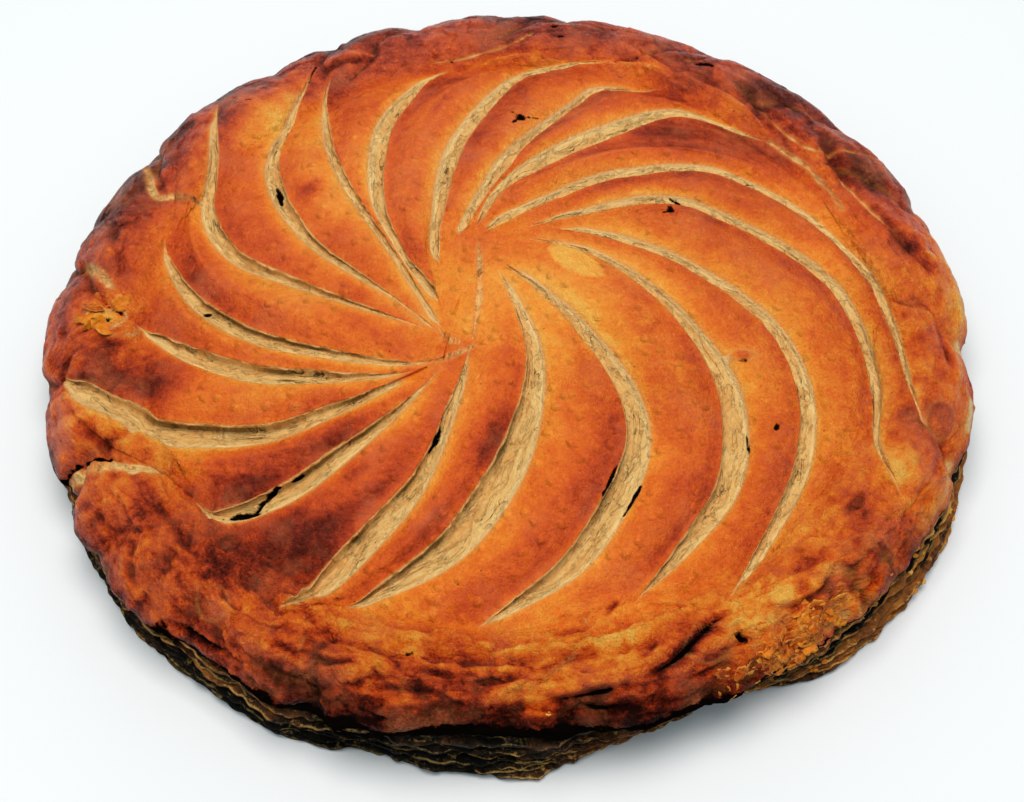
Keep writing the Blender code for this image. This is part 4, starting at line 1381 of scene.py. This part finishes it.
def leaf_piece(number, centre, material):
    """One leaf as a closed ring with a ragged, curled edge."""
    level, thick, _ = LEAVES[number]
    degrees = 360.0 * np.arange(LEAF_COLUMNS) / LEAF_COLUMNS
    outer = leaf_outline(degrees, number)
    crumple = 0.6 + 0.9 * bell(wrap(degrees - LIP_MIDDLE), 28.0)
    height = level + (side_wave(degrees) + dips(degrees, LIP_RISES)) * level / 16.0
    height += dips(degrees, LEAF_RISES) * level / 16.0
    height += 0.35 * ring_noise(degrees, 9.0, 90 + number)
    curl = 0.8 * ring_noise(degrees, 11.0, 120 + number // 2)
    curl += (0.2 + 0.4 * crumple) * ring_noise(degrees, 3.4, 130 + number)
    worn = smooth(0.45 + 1.3 * ring_noise(degrees, 7.0, 160 + number))
    for first, last, middle, spread, amount in LEAF_BARE:
        if first <= number <= last:
            worn = worn + amount * bell(wrap(degrees - middle), spread)
    angle = np.radians(degrees)
    tone = 0.12 * ring_noise(degrees, 20.0, 150 + number)
    for first, last, middle, spread, amount in LEAF_TONES:
        if first <= number <= last:
            tone = tone + amount * bell(wrap(degrees - middle), spread)
    rows, edges, tones = [], [], []
    for share, side, bare in LEAF_SECTION:
        radius = LEAF_INNER + (outer - LEAF_INNER) * share
        z = height + curl * share ** 5 + 0.5 * thick * side * (1.0 - 0.4 * share ** 6)
        place = np.stack((radius * np.cos(angle), radius * np.sin(angle), z), axis=1)
        z = z + 0.8 * crumple * clouds(place, 4.5, 140 + number, 2) * share ** 2
        z = np.maximum(z, 0.5 * thick * (1.0 + side) + 0.1)
        rows.append(np.stack((place[:, 0], place[:, 1], z), axis=1))
        edges.append(bare * worn)
        # Painted shade: each leaf's underside a little darker.
        tones.append(tone - 0.05 * (side < 0.0))
    points = np.stack(rows)
    index = np.arange(len(rows) * LEAF_COLUMNS).reshape(len(rows), LEAF_COLUMNS)
    new_piece(f"leaf_{number + 1}", to_frame(points.reshape(-1, 3), centre),
              quads_of(index, True, True), material, "leaves",
              edge=np.concatenate(edges), tone=np.concatenate(tones))


# ---------------------------------------------------------------- flakes

# Where torn flakes lie on the rim: angle, spread, way out, spread, how many, least and
# greatest half size, and tone from dark to pale.
FLAKE_FIELDS = (
    (306, 4.5, 138, 4, 90, 1, 2.4, 0.52), (300.5, 3, 139, 3, 50, 0.9, 2, 0.46),
    (274.3, 0.5, 136.5, 0.8, 5, 0.5, 0.9, 0.9),
    (181.5, 1.8, 120, 3.8, 7, 2.65, 3.4, 0.48), (332, 13, 144, 2, 22, 0.8, 1.6, 0.4),
)
# Crumbs against the outermost leaves: angle, spread, how many.
CRUMB_FIELDS = ((338, 14, 12), (309, 8, 8))
FLAKE_SEED = 23
FLAKE_ROWS = 5
FLAKE_COLUMNS = 7


class Flakes:
    """Thin torn flakes joined in one mesh, each closed with its own edge."""

    def __init__(self):
        self.random = np.random.default_rng(FLAKE_SEED)
        self.points, self.quads, self.edges, self.tones = [], [], [], []
        self.count = 0

    def add(self, place, normal, downhill, size, tone, lift):
        """One flake lying on a place, its lower end lifted."""
        random = self.random
        aside = np.cross(normal, downhill)
        u, v = np.meshgrid(np.linspace(-1, 1, FLAKE_COLUMNS), np.linspace(-1, 1, FLAKE_ROWS))
        across = u * np.sqrt(1.0 - 0.5 * v ** 2)
        along = v * np.sqrt(1.0 - 0.5 * u ** 2)
        out = np.hypot(across, along)
        ragged = random.uniform(-0.3, 0.25, u.shape) * (0.5 if size > 2.6 else 1.0)
        ragged = 1.0 + ragged * out ** 2
        long = size * random.uniform(0.7, 1.15)
        rise = -0.25 + lift * ((v + 1.0) / 2.0) ** 1.6
        rise = rise + size * random.uniform(-0.10, 0.16) * across ** 2
        rise = rise + 0.05 * size * random.uniform(-1, 1, u.shape)
        top = (place + aside * (across * ragged * size)[..., None]
               + downhill * (along * ragged * long)[..., None] + normal * rise[..., None])
        under = top - normal * 0.28 - (top - place) * 0.02
        block = np.concatenate((top.reshape(-1, 3), under.reshape(-1, 3)))
        index = np.arange(u.size).reshape(u.shape)
        faces = quads_of(index)[:, (0, 3, 2, 1)]
        loop = np.concatenate((index[0, :-1], index[:-1, -1], index[-1, :0:-1],
                               index[:0:-1, 0]))
        following = np.roll(loop, -1)
        sides = np.stack((loop, loop + u.size, following + u.size, following), axis=-1)
        self.quads.append(np.concatenate((faces, faces[:, ::-1] + u.size, sides))
                          + self.count)
        self.points.append(block)
        rim = np.tile(np.clip(np.maximum(np.abs(u), np.abs(v)), 0, 1).ravel() ** 3, 2)
        self.edges.append(rim)
        self.tones.append(np.full(block.shape[0], tone + random.uniform(-0.14, 0.14)))
        self.count += len(block)


def slope_at(crust, normals, degrees, reach):
    """Place, normal and downhill direction on the crust at an angle and a way out."""
    first = crust.last + 1
    gap = (wrap(crust.degrees[first:] - degrees) * 2.3) ** 2
    gap = gap + (crust.reach[first:] - reach) ** 2
    ring, column = np.unravel_index(np.argmin(gap), gap.shape)
    place, normal = crust.points[first + ring, column], normals[first + ring, column]
    outward = np.array((place[0], place[1], 0.0)) / math.hypot(place[0], place[1])
    downhill = outward - normal * outward.dot(normal)
    return place, normal, downhill / max(np.linalg.norm(downhill), 1e-6)


def turn_about(direction, normal, angle):
    """The direction turned about a normal that is square to it."""
    return direction * math.cos(angle) + np.cross(normal, direction) * math.sin(angle)


def make_flakes(crust, normals, centre, material):
    """Torn flakes on the rim and crumbs against the outer leaves, in one piece."""
    flakes = Flakes()
    random = flakes.random
    for angle, spread, reach, depth, count, least, most, tone in FLAKE_FIELDS:
        for _ in range(count):
            place, normal, downhill = slope_at(crust, normals, random.normal(angle, spread),
                                               random.normal(reach, depth))
            size = random.uniform(least, most)
            downhill = turn_about(downhill, normal, random.normal(0.0, 0.6))
            raised = size * random.uniform(0.1, 0.3) * (1.7 if least > 1.5 else 1.0)
            if math.hypot(place[0] - CURL[0], place[1] - CURL[1]) > 5.5:
                flakes.add(place, normal, downhill, size, tone, raised)
    for angle, spread, count in CRUMB_FIELDS:
        for _ in range(count):
            degrees = np.array((random.normal(angle, spread),))
            number = int(random.integers(3, 9))
            radius = leaf_outline(degrees, number)[0] - random.uniform(-0.6, 0.6)
            turn = math.radians(degrees[0])
            outward = np.array((math.cos(turn), math.sin(turn), 0.0))
            place = outward * radius + np.array((0.0, 0.0, max(LEAVES[number][0], 1.6)))
            normal = outward * random.uniform(0.1, 0.9) + np.array((0, 0, 1.0))
            normal /= np.linalg.norm(normal)
            downhill = outward - normal * outward.dot(normal)
            downhill /= np.linalg.norm(downhill)
            downhill = turn_about(downhill, normal, random.uniform(-1.5, 1.5))
            flakes.add(place, normal, downhill, random.uniform(0.6, 1.3),
                       random.uniform(0.45, 0.85), random.uniform(0.1, 0.5))
    points = np.concatenate(flakes.points)
    points[:, 2] = np.maximum(points[:, 2], 0.25)
    new_piece("torn_flakes", to_frame(points, centre), np.concatenate(flakes.quads),
              material, "crust", edge=np.concatenate(flakes.edges),
              tone=np.concatenate(flakes.tones))


CURL = (60.2, -110.2)    # plan place of the curled hole in the lower right rim
CURL_RADIUS = 1.8


def make_curl(crust, normals, centre, material):
    """The thin sheet edge that curls round the hole."""
    degrees = math.degrees(math.atan2(CURL[1], CURL[0])) % 360.0
    reach = float(reach_of(np.array((math.hypot(*CURL),)), np.array((degrees,)))[0])
    place, normal, downhill = slope_at(crust, normals, degrees, reach)
    aside = np.cross(normal, downhill)
    turns = np.radians(np.linspace(-150.0, 60.0, 40))
    rows = []
    for radius, depth in ((1.1, -1.6), (1.1, 1.6), (1.2, 2.0), (1.36, 1.7), (1.34, -1.6)):
        grow = CURL_RADIUS * radius * np.linspace(1.0, 1.25, len(turns))
        rows.append(place + aside * (np.cos(turns) * grow)[:, None]
                    + downhill * (np.sin(turns) * grow * 1.3)[:, None] + normal * depth)
    points = np.stack(rows)
    index = np.arange(points.shape[0] * points.shape[1]).reshape(points.shape[:2])
    ends = np.array([index[:4, 0], index[3::-1, -1]])
    quads = np.concatenate((quads_of(index, rings_closed=True), ends))
    pale = np.full(index.size, 0.8)
    new_piece("curled_edge", to_frame(points.reshape(-1, 3), centre), quads, material,
              "crust", edge=pale, tone=pale)


# Sections of the core behind the leaves and of the bottom: how far in from the leaves'
# outline, and height. The core's near-black colour is painted shade in the gaps between
# the leaves.
CORE_SECTION = ((12, 15.2), (14, 12), (13, 9), (14.5, 6), (13.5, 3), (13.5, 0.6))
BOTTOM_SECTION = ((15, 1.2), (7.5, 1.1), (4.5, 0.8), (4.8, 0.2), (8, 0), (70, 0), (110, 0),
                  (139, 0))
ROUND_INSET = 60.0       # further in than this, the outline is a plain circle
TURNED_COLUMNS = 240


def turned_piece(name, section, centre, material, wobble):
    """A piece turned from a section, with the uneven outline of the leaves."""
    degrees = 360.0 * np.arange(TURNED_COLUMNS) / TURNED_COLUMNS
    angle = np.radians(degrees)
    rows = []
    for number, (inset, z) in enumerate(section):
        shift = wobble * ring_noise(degrees, 10.0, 200 + number)
        out = LEAF_RADIUS - dips(degrees, LEAF_DIPS) - inset + shift
        if inset > ROUND_INSET:
            out = np.full(TURNED_COLUMNS, max(LEAF_RADIUS - inset, 0.3))
        rows.append(np.stack((out * np.cos(angle), out * np.sin(angle),
                              np.full(TURNED_COLUMNS, z)), axis=1))
    points = np.stack(rows)
    index = np.arange(points.shape[0] * TURNED_COLUMNS).reshape(-1, TURNED_COLUMNS)
    new_piece(name, to_frame(points.reshape(-1, 3), centre),
              quads_of(index, columns_closed=True), material, "leaves")


# ---------------------------------------------------------------- stage, light, camera


FLOOR_HALF = 3.0         # metres
FLOOR_GAP = 0.0002


def make_stage():
    """The plain floor under the pie."""
    mesh = bpy.data.meshes.new("floor")
    half = FLOOR_HALF
    mesh.from_pydata([(-half, -half, 0), (half, -half, 0), (half, half, 0), (-half, half, 0)],
                     [], [(0, 1, 2, 3)])
    floor = bpy.data.objects.new("floor", mesh)
    floor.location.z = LOW.z - FLOOR_GAP
    bpy.context.scene.collection.objects.link(floor)
    paint = Paint("pale_floor")
    paint.surface(Base_Color=srgb(237, 238, 243), Roughness=0.7, Specular_IOR_Level=0.2)
    mesh.materials.append(paint.material)


def area_light(name, place, target, size, power, colour):
    """A rectangular lamp that faces the target."""
    light = bpy.data.lights.new(name, "AREA")
    light.shape = "RECTANGLE"
    light.size, light.size_y = size
    light.energy = power
    light.color = colour
    lamp = bpy.data.objects.new(name, light)
    bpy.context.scene.collection.objects.link(lamp)
    lamp.location = place
    aim(lamp, target)


def aim(thing, target):
    """Turns a lamp or camera to face a point."""
    way = Vector(target) - Vector(thing.location)
    thing.rotation_euler = way.to_track_quat("-Z", "Y").to_euler()


def make_light():
    """Pale surroundings, a broad lamp above and a long low one behind."""
    world = bpy.data.worlds.new("studio")
    world.use_nodes = True
    background = world.node_tree.nodes["Background"]
    background.inputs["Color"].default_value = (0.76, 0.96, 1.0, 1.0)
    background.inputs["Strength"].default_value = 0.42
    bpy.context.scene.world = world
    area_light("key", (-0.04, -0.06, 1.2), (0, 0, 0.02), (0.85, 0.85), 13.3, (1.0, 0.94, 0.86))
    area_light("back", (0.1, 1.15, 0.62), (0, 0, 0.02), (1.5, 0.18), 1.8, (1.0, 0.98, 0.96))


CAMERA_TARGET = (0.59, -27.02, 20.0)   # drawn millimetres
CAMERA_DISTANCE = 499.59
CAMERA_ELEVATION = 53.12
CAMERA_LENS = 60.0


def make_camera(centre):
    """The camera of the photo, from in front and above."""
    camera = bpy.data.cameras.new("camera")
    camera.lens = CAMERA_LENS
    camera.sensor_width = 36.0
    camera.sensor_fit = "HORIZONTAL"
    camera.clip_start = 0.01
    viewer = bpy.data.objects.new("camera", camera)
    bpy.context.scene.collection.objects.link(viewer)
    angle = math.radians(CAMERA_ELEVATION)
    target = np.array(CAMERA_TARGET)
    back = np.array((0.0, -math.cos(angle), math.sin(angle)))
    viewer.location = to_frame(target + back * CAMERA_DISTANCE, centre)
    aim(viewer, to_frame(target, centre))
    bpy.context.scene.camera = viewer


# ---------------------------------------------------------------- the whole pie


def outline_centre():
    """Middle of the drawn outline in plan, with its height at the base."""
    degrees = np.arange(0.0, 360.0, 0.5)
    edge = np.maximum(roll_radius(degrees), LEAF_RADIUS - dips(degrees, LEAF_DIPS))
    x, y = edge * np.cos(np.radians(degrees)), edge * np.sin(np.radians(degrees))
    return np.array((0.5 * (x.min() + x.max()), 0.5 * (y.min() + y.max()), 0.0))


centre = outline_centre()
crust = Crust(Grid())
crust_pieces(crust, centre, crust_paint())
leaves = leaf_paint()
for number in range(len(LEAVES)):
    leaf_piece(number, centre, leaves)
torn = flake_paint()
facing = grid_normals(crust.points)
make_flakes(crust, facing, centre, torn)
make_curl(crust, facing, centre, torn)
# Painted shade: a near-black core, so the gaps between the leaves read as shadow.
core = plain_paint("core_painted_shade", (44, 30, 20), 0.8)
turned_piece("core", CORE_SECTION, centre, core, 0.8)
bottom = plain_paint("baked_bottom", (150, 96, 48), 0.65, 90.0)
turned_piece("bottom", BOTTOM_SECTION, centre, bottom, 0.9)
make_stage()
make_light()
make_camera(centre)
bpy.context.scene.view_settings.view_transform = "Standard"
